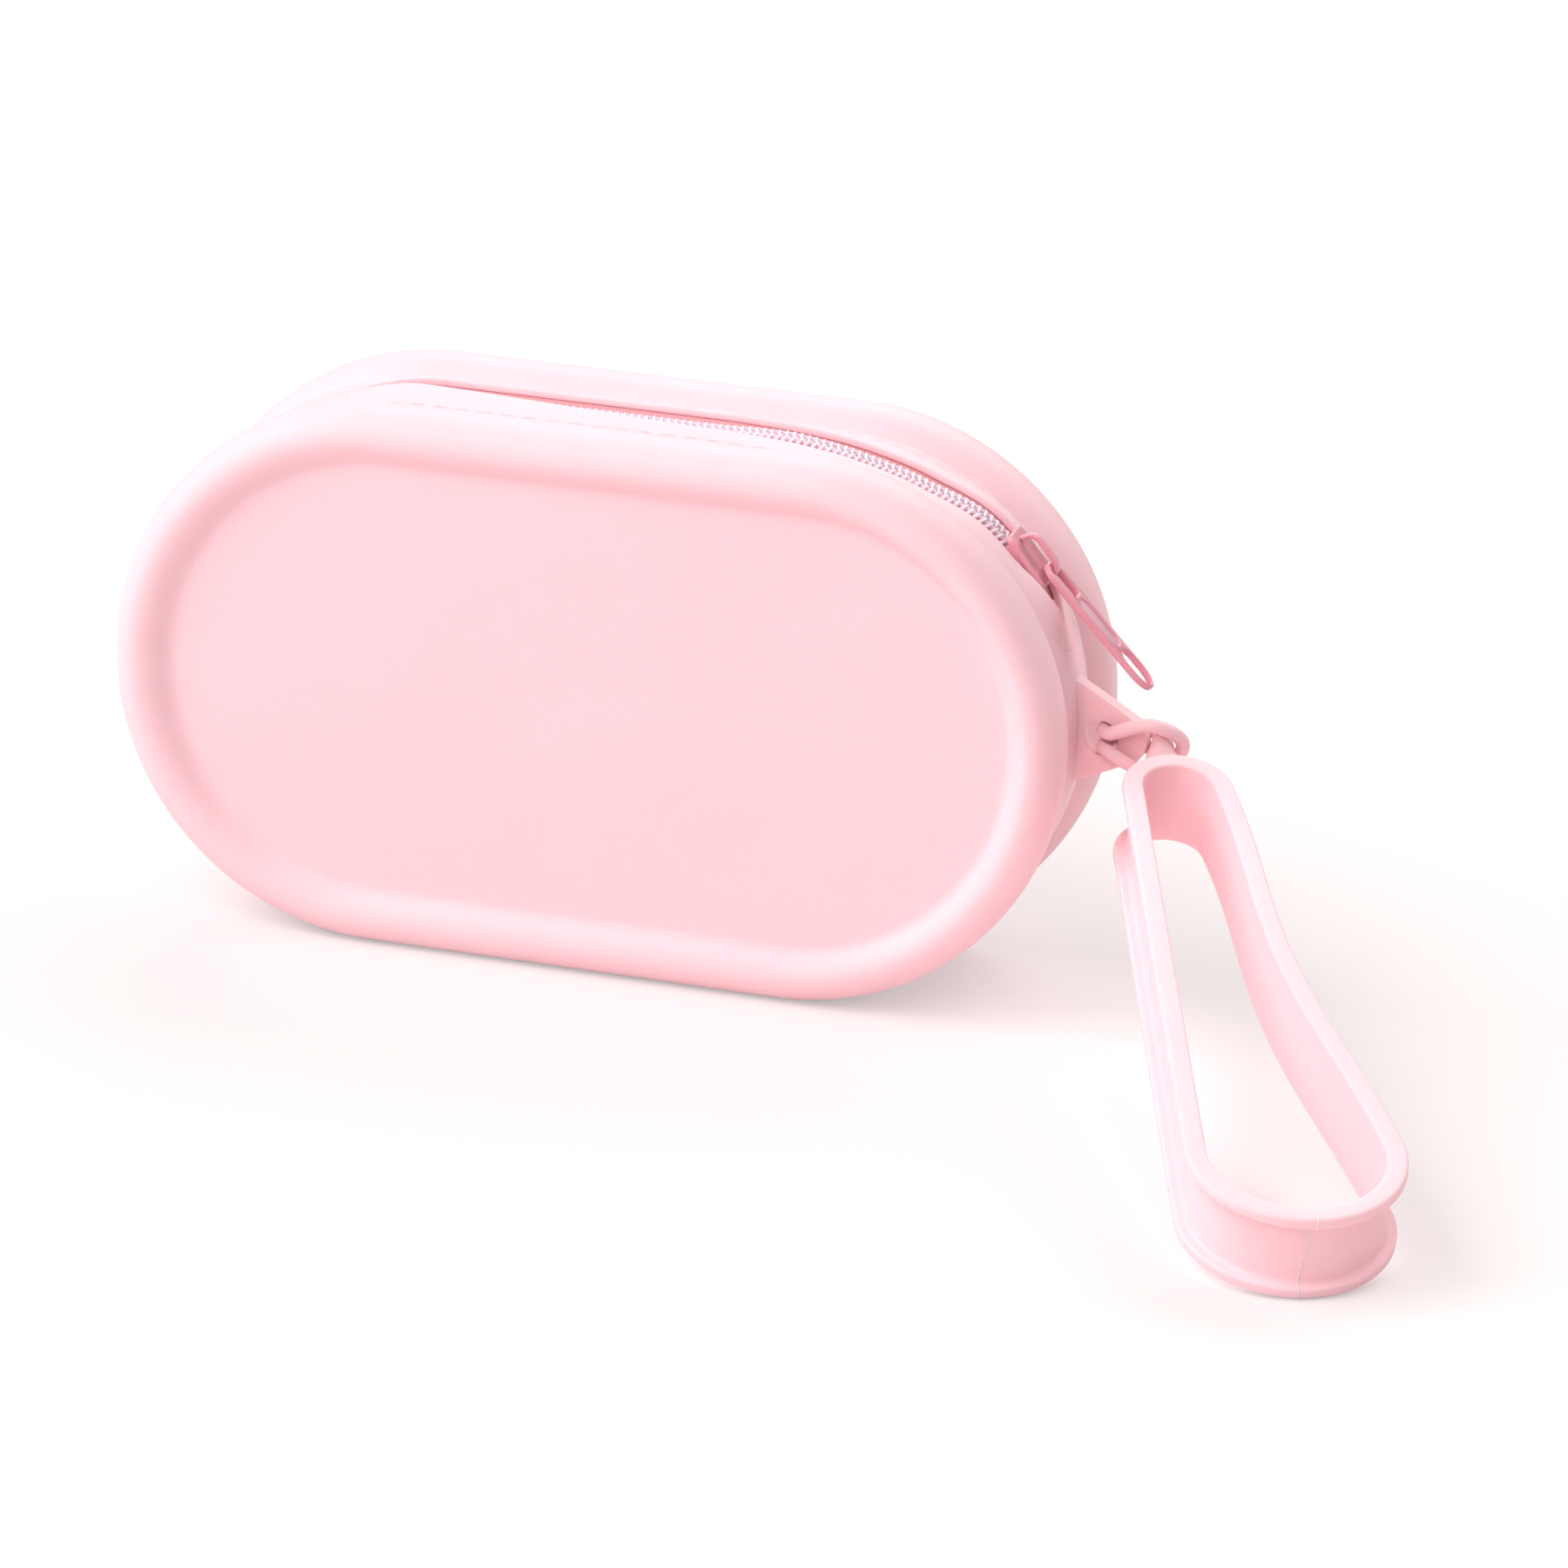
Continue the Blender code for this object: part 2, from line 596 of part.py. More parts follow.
def make_slider(parts, tools, material, pivot):
    """Cast slider: top plate with side flanges, wedge and lower plate, set radially on the arc."""
    top = outline_mesh("slider_body", [slider_outline()], SLIDER_PLATE,
                       Matrix.Translation((0.0, 0.0, PLATE_BASE + SLIDER_PLATE / 2)))
    body = add_object("slider_body", top, parts, material)
    tape_low = TAPE_TOP - TAPE_THICKNESS
    lower_top = tape_low * math.cos(SLIDER_LENGTH / 2 / tape_low) - SEAT_GAP
    lower = outline_mesh("slider_lower", [slider_outline()], SLIDER_PLATE,
                         Matrix.Translation((0.0, 0.0, lower_top - SLIDER_PLATE / 2)))
    front = SLIDER_LENGTH / 2
    wedge = box_mesh("slider_wedge", (front - WEDGE_LENGTH, -WEDGE_WIDTH / 2, lower_top - SLIDER_PLATE / 2),
                     (front - SLIDER_CORNER / 2, WEDGE_WIDTH / 2, PLATE_BASE + SLIDER_PLATE / 2))
    flange_low = TAPE_TOP + GAP
    pieces = [("slider_lower", lower), ("slider_wedge", wedge)]
    for name, side in (("slider_flange_front", -1), ("slider_flange_back", 1)):
        outer = side * (SLIDER_REAR_WIDTH / 2 - MERGE)
        inner = side * (SLIDER_REAR_WIDTH / 2 - SLIDER_FLANGE)
        low, high = min(outer, inner), max(outer, inner)
        flange = box_mesh(name, (SLIDER_CORNER - front, low, flange_low),
                          (front - SLIDER_CORNER, high, PLATE_BASE + SLIDER_PLATE / 2))
        pieces.append((name, flange))
    for name, mesh in pieces:
        tool = add_cutter(name, mesh, tools, pivot)
        tool.rotation_euler = (0.0, SLIDER_ANGLE, 0.0)
        boolean(body, tool, "UNION")
    body.parent = pivot
    body.rotation_euler = (0.0, SLIDER_ANGLE, 0.0)
    return body


def bridge_rear():
    """Place of the bridge's rear leg along the slider."""
    return -SLIDER_LENGTH / 2 + BRIDGE_REAR_INSET


def bridge_front():
    """Place of the bridge's front leg along the slider."""
    return SLIDER_LENGTH / 2 - BRIDGE_FRONT_INSET


def make_bridge(parts, material, pivot):
    """Bent strap over the slider that holds the pull: two legs and a crown with round corners."""
    foot = PLATE_TOP + GAP
    crown = foot + BRIDGE_HEIGHT
    rear = bridge_rear()
    front = bridge_front()
    corner = BRIDGE_HEIGHT * 0.5
    outer = [(front, foot)]
    outer += arc_points((front - corner, crown - corner), corner, 0.0, math.pi / 2, 5)
    outer += arc_points((rear + corner, crown - corner), corner, math.pi / 2, math.pi, 5)
    outer += [(rear, foot), (rear + BRIDGE_THICKNESS, foot)]
    small = corner - BRIDGE_THICKNESS
    outer += arc_points((rear + corner, crown - corner), small, math.pi, math.pi / 2, 5)
    outer += arc_points((front - corner, crown - corner), small, math.pi / 2, 0.0, 5)
    outer += [(front - BRIDGE_THICKNESS, foot)]
    mesh = outline_mesh("slider_bridge", [outer], BRIDGE_WIDTH, Matrix.Rotation(math.pi / 2, 4, "X"))
    bridge = add_object("slider_bridge", mesh, parts, material)
    bridge.parent = pivot
    bridge.rotation_euler = (0.0, SLIDER_ANGLE, 0.0)
    return bridge


def pull_pivot_place():
    """Where the pull turns: inside the bridge, behind its front leg."""
    clearance = math.hypot(PULL_BAR / 2, PULL_THICKNESS / 2) + GAP
    out = bridge_front() - BRIDGE_THICKNESS - clearance
    up = (PLATE_TOP + PLATE_TOP + GAP + BRIDGE_HEIGHT - BRIDGE_THICKNESS) / 2
    return RIGHT_CENTRE + Matrix.Rotation(SLIDER_ANGLE, 3, "Y") @ Vector((out, 0.0, up))


def make_pull(parts, tools, material, datum):
    """Flat pull with a window for the bridge, a sunk face and a long hole, hung at its bar."""
    pivot = bpy.data.objects.new("pull_axis", None)
    tools.objects.link(pivot)
    pivot.parent = datum
    pivot.location = pull_pivot_place()
    top = -PULL_BAR / 2
    end = PULL_LENGTH + top
    half = PULL_WIDTH / 2
    inner = half - PULL_RIM
    window = window_outline(PULL_BAR / 2, PULL_BAR / 2 + PULL_WINDOW_LENGTH, inner, PULL_WINDOW_CORNER)
    hole = slot_outline(end - PULL_RIM - PULL_HOLE_LENGTH, end - PULL_RIM, inner)
    mesh = outline_mesh("pull_tab", [slot_outline(top, end, half, 8), window, hole], PULL_THICKNESS,
                        Matrix.Identity(4))
    pull = add_object("pull_tab", mesh, parts, material)
    low = PULL_BAR / 2 + PULL_WINDOW_LENGTH + PULL_RIM
    high = end - PULL_RIM - PULL_HOLE_LENGTH - PULL_RIM
    sunk = outline_mesh("pull_recess", [slot_outline(low, high, inner)], 2 * PULL_RECESS,
                        Matrix.Translation((0.0, 0.0, PULL_THICKNESS / 2)))
    recess = add_cutter("pull_recess", sunk, tools, pivot)
    pull.parent = pivot
    for item in (pull, recess):
        item.rotation_euler = (0.0, PULL_SLOPE, 0.0)
    boolean(pull, recess, "DIFFERENCE")
    return pull


def strap_half_width(place):
    """Half-widths (left, right) of the loop between its two end arcs."""
    low = STRAP_TOP_RADIUS
    high = STRAP_LENGTH - STRAP_BOTTOM_RADIUS
    share = (place - low) / (high - low)
    straight = STRAP_TOP_RADIUS + (STRAP_BOTTOM_RADIUS - STRAP_TOP_RADIUS) * share
    return straight, straight - STRAP_BOW * math.sin(math.pi * share) ** 2


def strap_outline():
    """Outer edge of the loop, seen along its own axis: (along, across), the right side bowed in."""
    top = STRAP_TOP_RADIUS
    low = STRAP_LENGTH - STRAP_BOTTOM_RADIUS
    quarter = math.pi / 2
    points = arc_points((top, 0.0), top, -quarter, -3 * quarter, 10)
    for step in range(1, 12):
        place = top + (low - top) * step / 12
        points.append((place, strap_half_width(place)[1]))
    points += arc_points((low, 0.0), STRAP_BOTTOM_RADIUS, quarter, -quarter, 14)
    points.append(((low + top) / 2, -strap_half_width((low + top) / 2)[0]))
    return points


def strap_frame():
    """Matrix from (along, across, normal) of the loop to the bag."""
    frame = Matrix((STRAP_AXIS, STRAP_ACROSS, STRAP_NORMAL)).transposed().to_4x4()
    return Matrix.Translation(STRAP_TOP_PLACE) @ frame


def stem_direction():
    """Direction in which the stem leaves the strap, past the lug's tip towards its far side."""
    tip = RIGHT_CENTRE + Vector((LUG_REACH + GAP + CORD_DIAMETER / 2, LUG_THICKNESS / 2, 0.0))
    return (tip - stem_root()).normalized()


def stem_root():
    """Middle of the stem's foot on the strap's web."""
    return STRAP_TOP_PLACE + STRAP_AXIS * (STRAP_RIM - STRAP_WEB)


def strap_section():
    """Channel section of the loop: (inward from the edge, height), its web inside and two lips outside."""
    half = STRAP_HEIGHT / 2
    lip = half - STRAP_LIP
    fillet = STRAP_LIP / 4
    web = STRAP_RIM - STRAP_WEB
    return [(0.0, -half), (0.0, -lip), (web - fillet, -lip), (web, fillet - lip), (web, lip - fillet),
            (web - fillet, lip), (0.0, lip), (0.0, half), (STRAP_RIM, half), (STRAP_RIM, -half)]


def profile_ring(name, loop, section, place):
    """Ring made by running a flat section (inward, height) round a flat loop, as a bevelled curve."""
    guides = []
    for label, points in (("section", section), ("loop", loop)):
        curve = bpy.data.curves.new(f"{name}_{label}", "CURVE")
        curve.dimensions = "2D"
        curve.fill_mode = "NONE"
        spline = curve.splines.new("POLY")
        spline.points.add(len(points) - 1)
        for point, (first, second) in zip(spline.points, points):
            point.co = (first, second, 0.0, 1.0)
        spline.use_cyclic_u = True
        guide = bpy.data.objects.new(f"{name}_{label}", curve)
        bpy.context.scene.collection.objects.link(guide)
        guides.append(guide)
    guides[1].data.bevel_mode = "OBJECT"
    guides[1].data.bevel_object = guides[0]
    mesh = evaluated_mesh(guides[1])
    for guide in guides:
        bpy.data.objects.remove(guide, do_unlink=True)
    bm = bmesh.new()
    bm.from_mesh(mesh)
    bmesh.ops.transform(bm, matrix=place, verts=bm.verts)
    return mesh_from(bm, name)


def make_strap(parts, tools, material, datum):
    """Loop of channel section, moulded with a short stem at its top."""
    body = profile_ring("wrist_strap", strap_outline(), strap_section(), strap_frame())
    strap = add_object("wrist_strap", body, parts, material)
    strap.parent = datum
    root = stem_root()
    way = stem_direction()
    stem = rod_mesh("strap_stem", root + STRAP_AXIS * STRAP_WEB / 2, root + way * STEM_LENGTH,
                    STEM_ROOT_RADIUS, STEM_TIP_RADIUS, 12)
    boolean(strap, add_cutter("strap_stem", stem, tools, datum), "UNION")
    return strap


def cord_route():
    """Route of the cord: its two legs pass through the lug's hole and its bight goes round the stem."""
    way = stem_direction()
    side = STRAP_ACROSS * (CORD_DIAMETER + GAP) / 2
    foot = stem_root() + way * (STEM_LENGTH + GAP)
    first = [foot + side, foot + side + way * CORD_LEAD]
    last = [foot - side + way * CORD_LEAD, foot - side]
    middle = [LUG_HOLE_PLACE + Vector(place) for place in CORD_FAR_LEG + CORD_BIGHT + CORD_NEAR_LEG]
    return first + middle + last


def make_cord(parts, material, datum):
    """Cord of the strap, hitched through the lug."""
    mesh = tube_mesh("strap_hitch", smooth_route(cord_route(), 2), CORD_DIAMETER)
    cord = add_object("strap_hitch", mesh, parts, material)
    cord.parent = datum
    return cord


def main():
    """Build the bag."""
    clear_scene()
    parts = new_collection("silicone_makeup_bag")
    tools = new_collection("cutters")
    silicone = (0.956, 0.610, 0.672)
    materials = {
        "body": new_material("body_silicone", silicone, 0.45),
        "strap": new_material("strap_silicone", silicone, 0.45),
        "cord": new_material("cord_silicone", silicone, 0.45),
        "tape": new_material("tape_polyester", (0.86, 0.47, 0.54), 0.85),
        "coil": new_material("coil_nylon", (0.90, 0.60, 0.68), 0.40),
        "stop": new_material("stop_metal", (0.66, 0.25, 0.32), 0.35, 0.6),
        "thread": new_material("seam_thread", (0.90, 0.52, 0.60), 0.70),
        "slider": new_material("slider_enamel", (0.66, 0.25, 0.32), 0.35),
        "bridge": new_material("bridge_enamel", (0.66, 0.25, 0.32), 0.35),
        "pull": new_material("pull_enamel", (0.66, 0.25, 0.32), 0.35),
    }
    datum = bpy.data.objects.new("bag_datum", None)
    tools.objects.link(datum)
    datum.location = DATUM
    travel = bpy.data.objects.new("slider_axis", None)
    tools.objects.link(travel)
    travel.parent = datum
    travel.location = RIGHT_CENTRE
    make_body(parts, tools, materials["body"], datum)
    make_zip(parts, materials, datum)
    make_seam(parts, materials["thread"], datum)
    make_slider(parts, tools, materials["slider"], travel)
    make_bridge(parts, materials["bridge"], travel)
    make_pull(parts, tools, materials["pull"], datum)
    make_strap(parts, tools, materials["strap"], datum)
    make_cord(parts, materials["cord"], datum)


main()
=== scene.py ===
"""Looks of the silicone makeup bag: a moulded pill-shaped body, a coil zip and a hitched wrist strap.

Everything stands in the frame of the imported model, in metres. X runs along the bag, the front panel
faces -Y and Z is up. Distances along the bag are measured from the middle of its top, positive to
the right, and offsets across it from its middle plane, positive to the back.
"""
import logging
import math
from dataclasses import dataclass, field
from enum import Enum
from typing import Callable, Sequence

import bmesh
import bpy
from bmesh.types import BMEdge, BMesh, BMVert
from bpy.types import Curve, Material, Node, NodeSocket, NodeTree, Object
from mathutils import Matrix, Quaternion, Vector


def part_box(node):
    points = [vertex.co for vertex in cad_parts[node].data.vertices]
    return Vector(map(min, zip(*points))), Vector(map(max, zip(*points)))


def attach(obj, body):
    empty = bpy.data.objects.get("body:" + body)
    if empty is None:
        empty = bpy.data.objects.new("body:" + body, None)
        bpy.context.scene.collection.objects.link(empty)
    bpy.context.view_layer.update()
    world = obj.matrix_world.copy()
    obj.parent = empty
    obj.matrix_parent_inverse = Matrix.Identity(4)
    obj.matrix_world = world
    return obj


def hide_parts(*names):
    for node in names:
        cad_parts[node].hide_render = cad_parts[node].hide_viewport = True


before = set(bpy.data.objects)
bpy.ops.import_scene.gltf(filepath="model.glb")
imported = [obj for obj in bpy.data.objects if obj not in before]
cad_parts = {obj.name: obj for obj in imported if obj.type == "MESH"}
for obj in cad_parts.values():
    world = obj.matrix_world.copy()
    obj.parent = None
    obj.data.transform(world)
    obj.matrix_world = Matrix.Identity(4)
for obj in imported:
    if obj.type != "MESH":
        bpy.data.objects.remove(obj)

LOG = logging.getLogger("makeup_bag")
MM = 0.001
MERGE = 0.000002
QUARTER = math.pi / 2
SHARP = math.radians(60)
CORNER_STEPS = 5
SPIN_STEPS = 32
TURN_STEPS = 6
BAND_DROP = 1.5 * MM
WHITE = (1.0, 1.0, 1.0, 1.0)
ENAMEL_PINK = (0.76, 0.275, 0.35)
Pair = tuple[float, float]
Triple = tuple[float, float, float]


class Body(str, Enum):
    """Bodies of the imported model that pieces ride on."""

    BAG = "bag"
    SLIDER = "slider"
    PULL = "pull"
    HITCH = "hitch"
    STRAP = "strap"


class Side(Enum):
    """Side of the bag, as the sign of an offset."""

    FRONT = -1
    BACK = 1


def smooth_share(value: float, low: float, high: float) -> float:
    """Share from 0 to 1 of the way of a value from low to high, eased at both ends."""
    share = min(max((value - low) / (high - low), 0.0), 1.0)
    return share * share * (3 - 2 * share)


def hump_share(value: float, rise: Pair, fall: Pair) -> float:
    """Share that grows from 0 to 1 over one range of a value and falls back over another."""
    return smooth_share(value, *rise) * (1 - smooth_share(value, *fall))


def spread_evenly(low: float, high: float, steps: int) -> list[float]:
    """Values from low to high in equal steps, both ends included."""
    return [low + (high - low) * step / steps for step in range(steps + 1)]


def arc_points(centre: Sequence[float], radius: float, start: float, stop: float, steps: int) -> list[Pair]:
    """Points along an arc in a flat outline, between two angles and with both ends."""
    return [(centre[0] + radius * math.cos(angle), centre[1] + radius * math.sin(angle))
            for angle in spread_evenly(start, stop, steps)]


def smooth_route(route: Sequence[Vector], per_span: int) -> list[Vector]:
    """Points of a smooth curve through a route's own points.

    Args:
        route: Points that the curve passes through.
        per_span: Number of points for each span of the route.

    Returns:
        The points of the curve.
    """
    points = []
    padded = [2 * route[0] - route[1], *route, 2 * route[-1] - route[-2]]
    for index in range(1, len(padded) - 2):
        before, here, there, after = padded[index - 1:index + 3]
        for step in range(per_span):
            t = step / per_span
            points.append(0.5 * (2 * here + (there - before) * t
                                 + (2 * before - 5 * here + 4 * there - after) * t ** 2
                                 + (3 * here - before - 3 * there + after) * t ** 3))
    points.append(route[-1])
    return points


class NodeBuilder:
    """Adds and joins nodes in a material or a group."""

    def __init__(self, tree: NodeTree) -> None:
        """Keep the tree that nodes are added to."""
        self.tree = tree

    def add(self, kind: str, settings: dict[str, object] | None = None,
            numbered: dict[int, object] | None = None, **inputs: object) -> Node:
        """Add a node, with its settings and inputs.

        Args:
            kind: The node's type name without "ShaderNode".
            settings: Values of the node's own properties.
            numbered: Values or output sockets by input number.
            **inputs: Values or output sockets by input name, spaces written as underscores.

        Returns:
            The new node.
        """
        node = self.tree.nodes.new(f"ShaderNode{kind}")
        for name, value in (settings or {}).items():
            setattr(node, name, value)
        self.feed(node, numbered or {})
        self.feed(node, {name.replace("_", " "): value for name, value in inputs.items()})
        return node

    def feed(self, node: Node, inputs: dict[str | int, object]) -> None:
        """Set inputs of a node, or join outputs to them.

        Args:
            node: The node.
            inputs: Values or output sockets by input name or number.
        """
        for name, value in inputs.items():
            if isinstance(value, NodeSocket):
                self.tree.links.new(value, node.inputs[name])
            else:
                node.inputs[name].default_value = value

    def math(self, operation: str, first: object, second: object) -> NodeSocket:
        """Join two values or sockets by a sum of the Math node."""
        return self.add("Math", {"operation": operation}, {0: first, 1: second}).outputs[0]

    def remap(self, value: object, *ends: object) -> NodeSocket:
        """Map a value between ranges (low, high, new low, new high), held at its ends."""
        return self.add("MapRange", None, dict(enumerate((value, *ends)))).outputs[0]

    def blend(self, share: object, first: object, second: object) -> NodeSocket:
        """Mix two colours or sockets by the share of the second."""
        return self.add("Mix", {"data_type": "RGBA"}, {0: share, 6: first, 7: second}).outputs[2]


def new_group(name: str, inputs: dict[str, float],
              outputs: Sequence[str]) -> tuple[NodeTree, NodeBuilder, Sequence[NodeSocket], Node]:
    """Start a shader node group with named sockets.

    Args:
        name: The group's name.
        inputs: Number inputs and their usual values. "Vector" isn't among them and is always there.
        outputs: Names of its number outputs.

    Returns:
        The group, a builder for its nodes, the sockets of its inputs and its output node.
    """
    group = bpy.data.node_groups.new(name, "ShaderNodeTree")
    group.interface.new_socket("Vector", in_out="INPUT", socket_type="NodeSocketVector")
    for label, value in inputs.items():
        socket = group.interface.new_socket(label, in_out="INPUT", socket_type="NodeSocketFloat")
        socket.default_value = value
    for label in outputs:
        group.interface.new_socket(label, in_out="OUTPUT", socket_type="NodeSocketFloat")
    entry = group.nodes.new("NodeGroupInput").outputs
    return group, NodeBuilder(group), entry, group.nodes.new("NodeGroupOutput")


@dataclass
class Effects:
    """Shader node groups that several finishes share."""

    grain: NodeTree = field(init=False)
    bloom: NodeTree = field(init=False)
    specks: NodeTree = field(init=False)
    weave: NodeTree = field(init=False)
    broad_scale: float = 0.12
    broad_share: float = 1.6
    cloud_range: Pair = (0.35, 0.68)
    cloud_roughness: float = 0.55
    speck_blur: float = 0.02
    twill_lean: float = 0.5
    rib_base: float = 1.2
    rib_top: float = 4.0

    def __post_init__(self) -> None:
        """Build every group once."""
        self.grain = self.make_grain()
        self.bloom = self.make_bloom()
        self.specks = self.make_specks()
        self.weave = self.make_weave()

    def make_grain(self) -> NodeTree:
        """Fine moulded grain: a height made of two sizes of noise.

        Returns:
            The group, with the output Height.
        """
        group, build, entry, leave = new_group("moulded grain", {"Size": 0.4 * MM}, ["Height"])
        scale = build.math("DIVIDE", 1.0, entry["Size"])
        fine = build.add("TexNoise", Vector=entry["Vector"], Scale=scale, Detail=2.0)
        broad = build.add("TexNoise", Vector=entry["Vector"],
                          Scale=build.math("MULTIPLY", scale, self.broad_scale), Detail=1.0)
        swell = build.math("MULTIPLY", broad.outputs[0], self.broad_share)
        height = build.math("ADD", fine.outputs[0], swell)
        build.feed(leave, {"Height": height})
        return group

    def make_bloom(self) -> NodeTree:
        """Cloudy skin of moulded rubber: a soft mask a few centimetres across.

        Returns:
            The group, with the output Mask.
        """
        group, build, entry, leave = new_group("rubber bloom", {"Size": 30 * MM}, ["Mask"])
        scale = build.math("DIVIDE", 1.0, entry["Size"])
        cloud = build.add("TexNoise", Vector=entry["Vector"], Scale=scale, Detail=4.0,
                          Roughness=self.cloud_roughness)
        build.feed(leave, {"Mask": build.remap(cloud.outputs[0], *self.cloud_range, 0.0, 1.0)})
        return group

    def make_specks(self) -> NodeTree:
        """Few small specks of dust.

        Returns:
            The group, with the output Mask.
        """
        group, build, entry, leave = new_group("dust specks", {"Size": 6 * MM, "Amount": 0.03}, ["Mask"])
        scale = build.math("DIVIDE", 1.0, entry["Size"])
        cells = build.add("TexVoronoi", Vector=entry["Vector"], Scale=scale)
        edge = build.math("SUBTRACT", entry["Amount"], cells.outputs["Distance"])
        build.feed(leave, {"Mask": build.remap(edge, 0.0, self.speck_blur, 0.0, 1.0)})
        return group

    def make_weave(self) -> NodeTree:
        """Twill of the zip tape: crossing ribs on a map whose units are metres, and a mask that is low in
        the hollows between the ribs, used for painted shade.

        Returns:
            The group, with the outputs Height and Mask.
        """
        group, build, entry, leave = new_group("tape weave", {"Rib": 0.6 * MM}, ["Height", "Mask"])
        along, across = build.add("SeparateXYZ", Vector=entry["Vector"]).outputs[:2]
        turns = build.math("DIVIDE", 2 * math.pi, entry["Rib"])
        warp = build.math("SINE", build.math("MULTIPLY", across, turns), 0.5)
        lean = build.math("ADD", along, build.math("MULTIPLY", across, self.twill_lean))
        weft = build.math("SINE", build.math("MULTIPLY", lean, turns), 0.5)
        height = build.math("MULTIPLY", build.math("ADD", warp, self.rib_base),
                            build.math("ADD", weft, self.rib_base))
        build.feed(leave, {"Height": height, "Mask": build.remap(height, 0.0, self.rib_top, 0.0, 1.0)})
        return group


@dataclass(frozen=True)
class Finish:
    """What cast and moulded finishes share: a name, a colour, a sheen that varies and a grain."""

    name: str
    colour: Triple = (0.970, 0.624, 0.670)
    roughness: float = 0.50
    roughness_swing: Pair = (0.05, 0.06)
    cloud_size: float = 30 * MM
    grain_size: float = 0.4 * MM
    grain_strength: float = 0.5
    grain_depth: float = 0.010 * MM

    def start(self, effects: Effects) -> tuple[Material, NodeBuilder, Node, NodeSocket, NodeSocket]:
        """Start the material, with the sheen and the grain on its shader.

        Args:
            effects: Shared node groups.

        Returns:
            The material, a builder for its nodes, its shader, its coordinates and a cloudy mask.
        """
        material, build, shader = new_material(self.name)
        place = build.add("TexCoord").outputs["Object"]
        cloud = build.add("Group", {"node_tree": effects.bloom}, Vector=place, Size=self.cloud_size)
        grain = build.add("Group", {"node_tree": effects.grain}, Vector=place, Size=self.grain_size)
        bump = build.add("Bump", Height=grain.outputs["Height"], Strength=self.grain_strength,
                         Distance=self.grain_depth)
        mask = cloud.outputs["Mask"]
        less, more = self.roughness_swing
        sheen = build.remap(mask, 0.0, 1.0, self.roughness - less, self.roughness + more)
        build.feed(shader, {"Roughness": sheen, "Normal": bump.outputs[0]})
        return material, build, shader, place, mask


@dataclass(frozen=True)
class Silicone(Finish):
    """Matt moulded silicone: soft light inside, a fine grain and a cloudy skin."""

    deep_colour: Triple = (0.966, 0.608, 0.656)
    speck_colour: Triple = (0.45, 0.22, 0.22)
    speck_amount: float = 0.0
    glow: float = 0.35
    glow_depth: float = 2.0 * MM
    glow_spread: Triple = (1.0, 0.42, 0.36)
    ior: float = 1.41
    shine: float = 0.35

    def build(self, effects: Effects) -> Material:
        """Make the material.

        Args:
            effects: Shared node groups.

        Returns:
            The material.
        """
        material, build, shader, place, mask = self.start(effects)
        colour = build.blend(mask, (*self.colour, 1.0), (*self.deep_colour, 1.0))
        if self.speck_amount:
            dust = build.add("Group", {"node_tree": effects.specks}, Vector=place, Amount=self.speck_amount)
            colour = build.blend(dust.outputs["Mask"], colour, (*self.speck_colour, 1.0))
        build.feed(shader, {
            "Base Color": colour,
            "IOR": self.ior,
            "Specular IOR Level": self.shine,
            "Subsurface Weight": self.glow,
            "Subsurface Radius": self.glow_spread,
            "Subsurface Scale": self.glow_depth,
        })
        return material


@dataclass(frozen=True)
class Woven:
    """Woven polyester tape, whose ribs follow the piece's own map."""

    name: str
    # Deep coral, partly the tape's own colour and partly painted shade: the pink-lit shade in the slot
    # beside the coils.
    colour: Triple = (0.96, 0.38, 0.42)
    # Share of the colour in the hollows between the ribs: painted shade in the weave.
    dark_share: float = 0.72
    rib: float = 0.6 * MM
    rib_strength: float = 0.6
    rib_depth: float = 0.03 * MM
    roughness: float = 0.85
    sheen: float = 0.3

    def build(self, effects: Effects) -> Material:
        """Make the material.

        Args:
            effects: Shared node groups.

        Returns:
            The material.
        """
        material, build, shader = new_material(self.name)
        run = build.add("UVMap", {"uv_map": "run"}).outputs[0]
        weave = build.add("Group", {"node_tree": effects.weave}, Vector=run, Rib=self.rib)
        # The weave mask darkens the hollows between the ribs: painted shade in the weave.
        dark = tuple(self.dark_share * part for part in self.colour)
        bump = build.add("Bump", Height=weave.outputs["Height"], Strength=self.rib_strength,
                         Distance=self.rib_depth)
        build.feed(shader, {
            "Base Color": build.blend(weave.outputs["Mask"], (*dark, 1.0), (*self.colour, 1.0)),
            "Roughness": self.roughness,
            "Sheen Weight": self.sheen,
            "Normal": bump.outputs[0],
        })
        return material


@dataclass(frozen=True)
class Filament(Finish):
    """Clear-tinted nylon or sewing thread with a little variation along it."""

    roughness_swing: Pair = (0.05, 0.05)
    cloud_size: float = 2.5 * MM
    grain_size: float = 0.15 * MM
    grain_strength: float = 0.3
    dark_share: float = 0.86
    glow: float = 0.0
    glow_depth: float = 1.0 * MM
    glow_spread: Triple = (1.0, 0.7, 0.7)

    def build(self, effects: Effects) -> Material:
        """Make the material.

        Args:
            effects: Shared node groups.

        Returns:
            The material.
        """
        material, build, shader, _, mask = self.start(effects)
        dark = tuple(self.dark_share * part for part in self.colour)
        build.feed(shader, {
            "Base Color": build.blend(mask, (*self.colour, 1.0), (*dark, 1.0)),
            "Subsurface Weight": self.glow,
            "Subsurface Radius": self.glow_spread,
            "Subsurface Scale": self.glow_depth,
        })
        return material


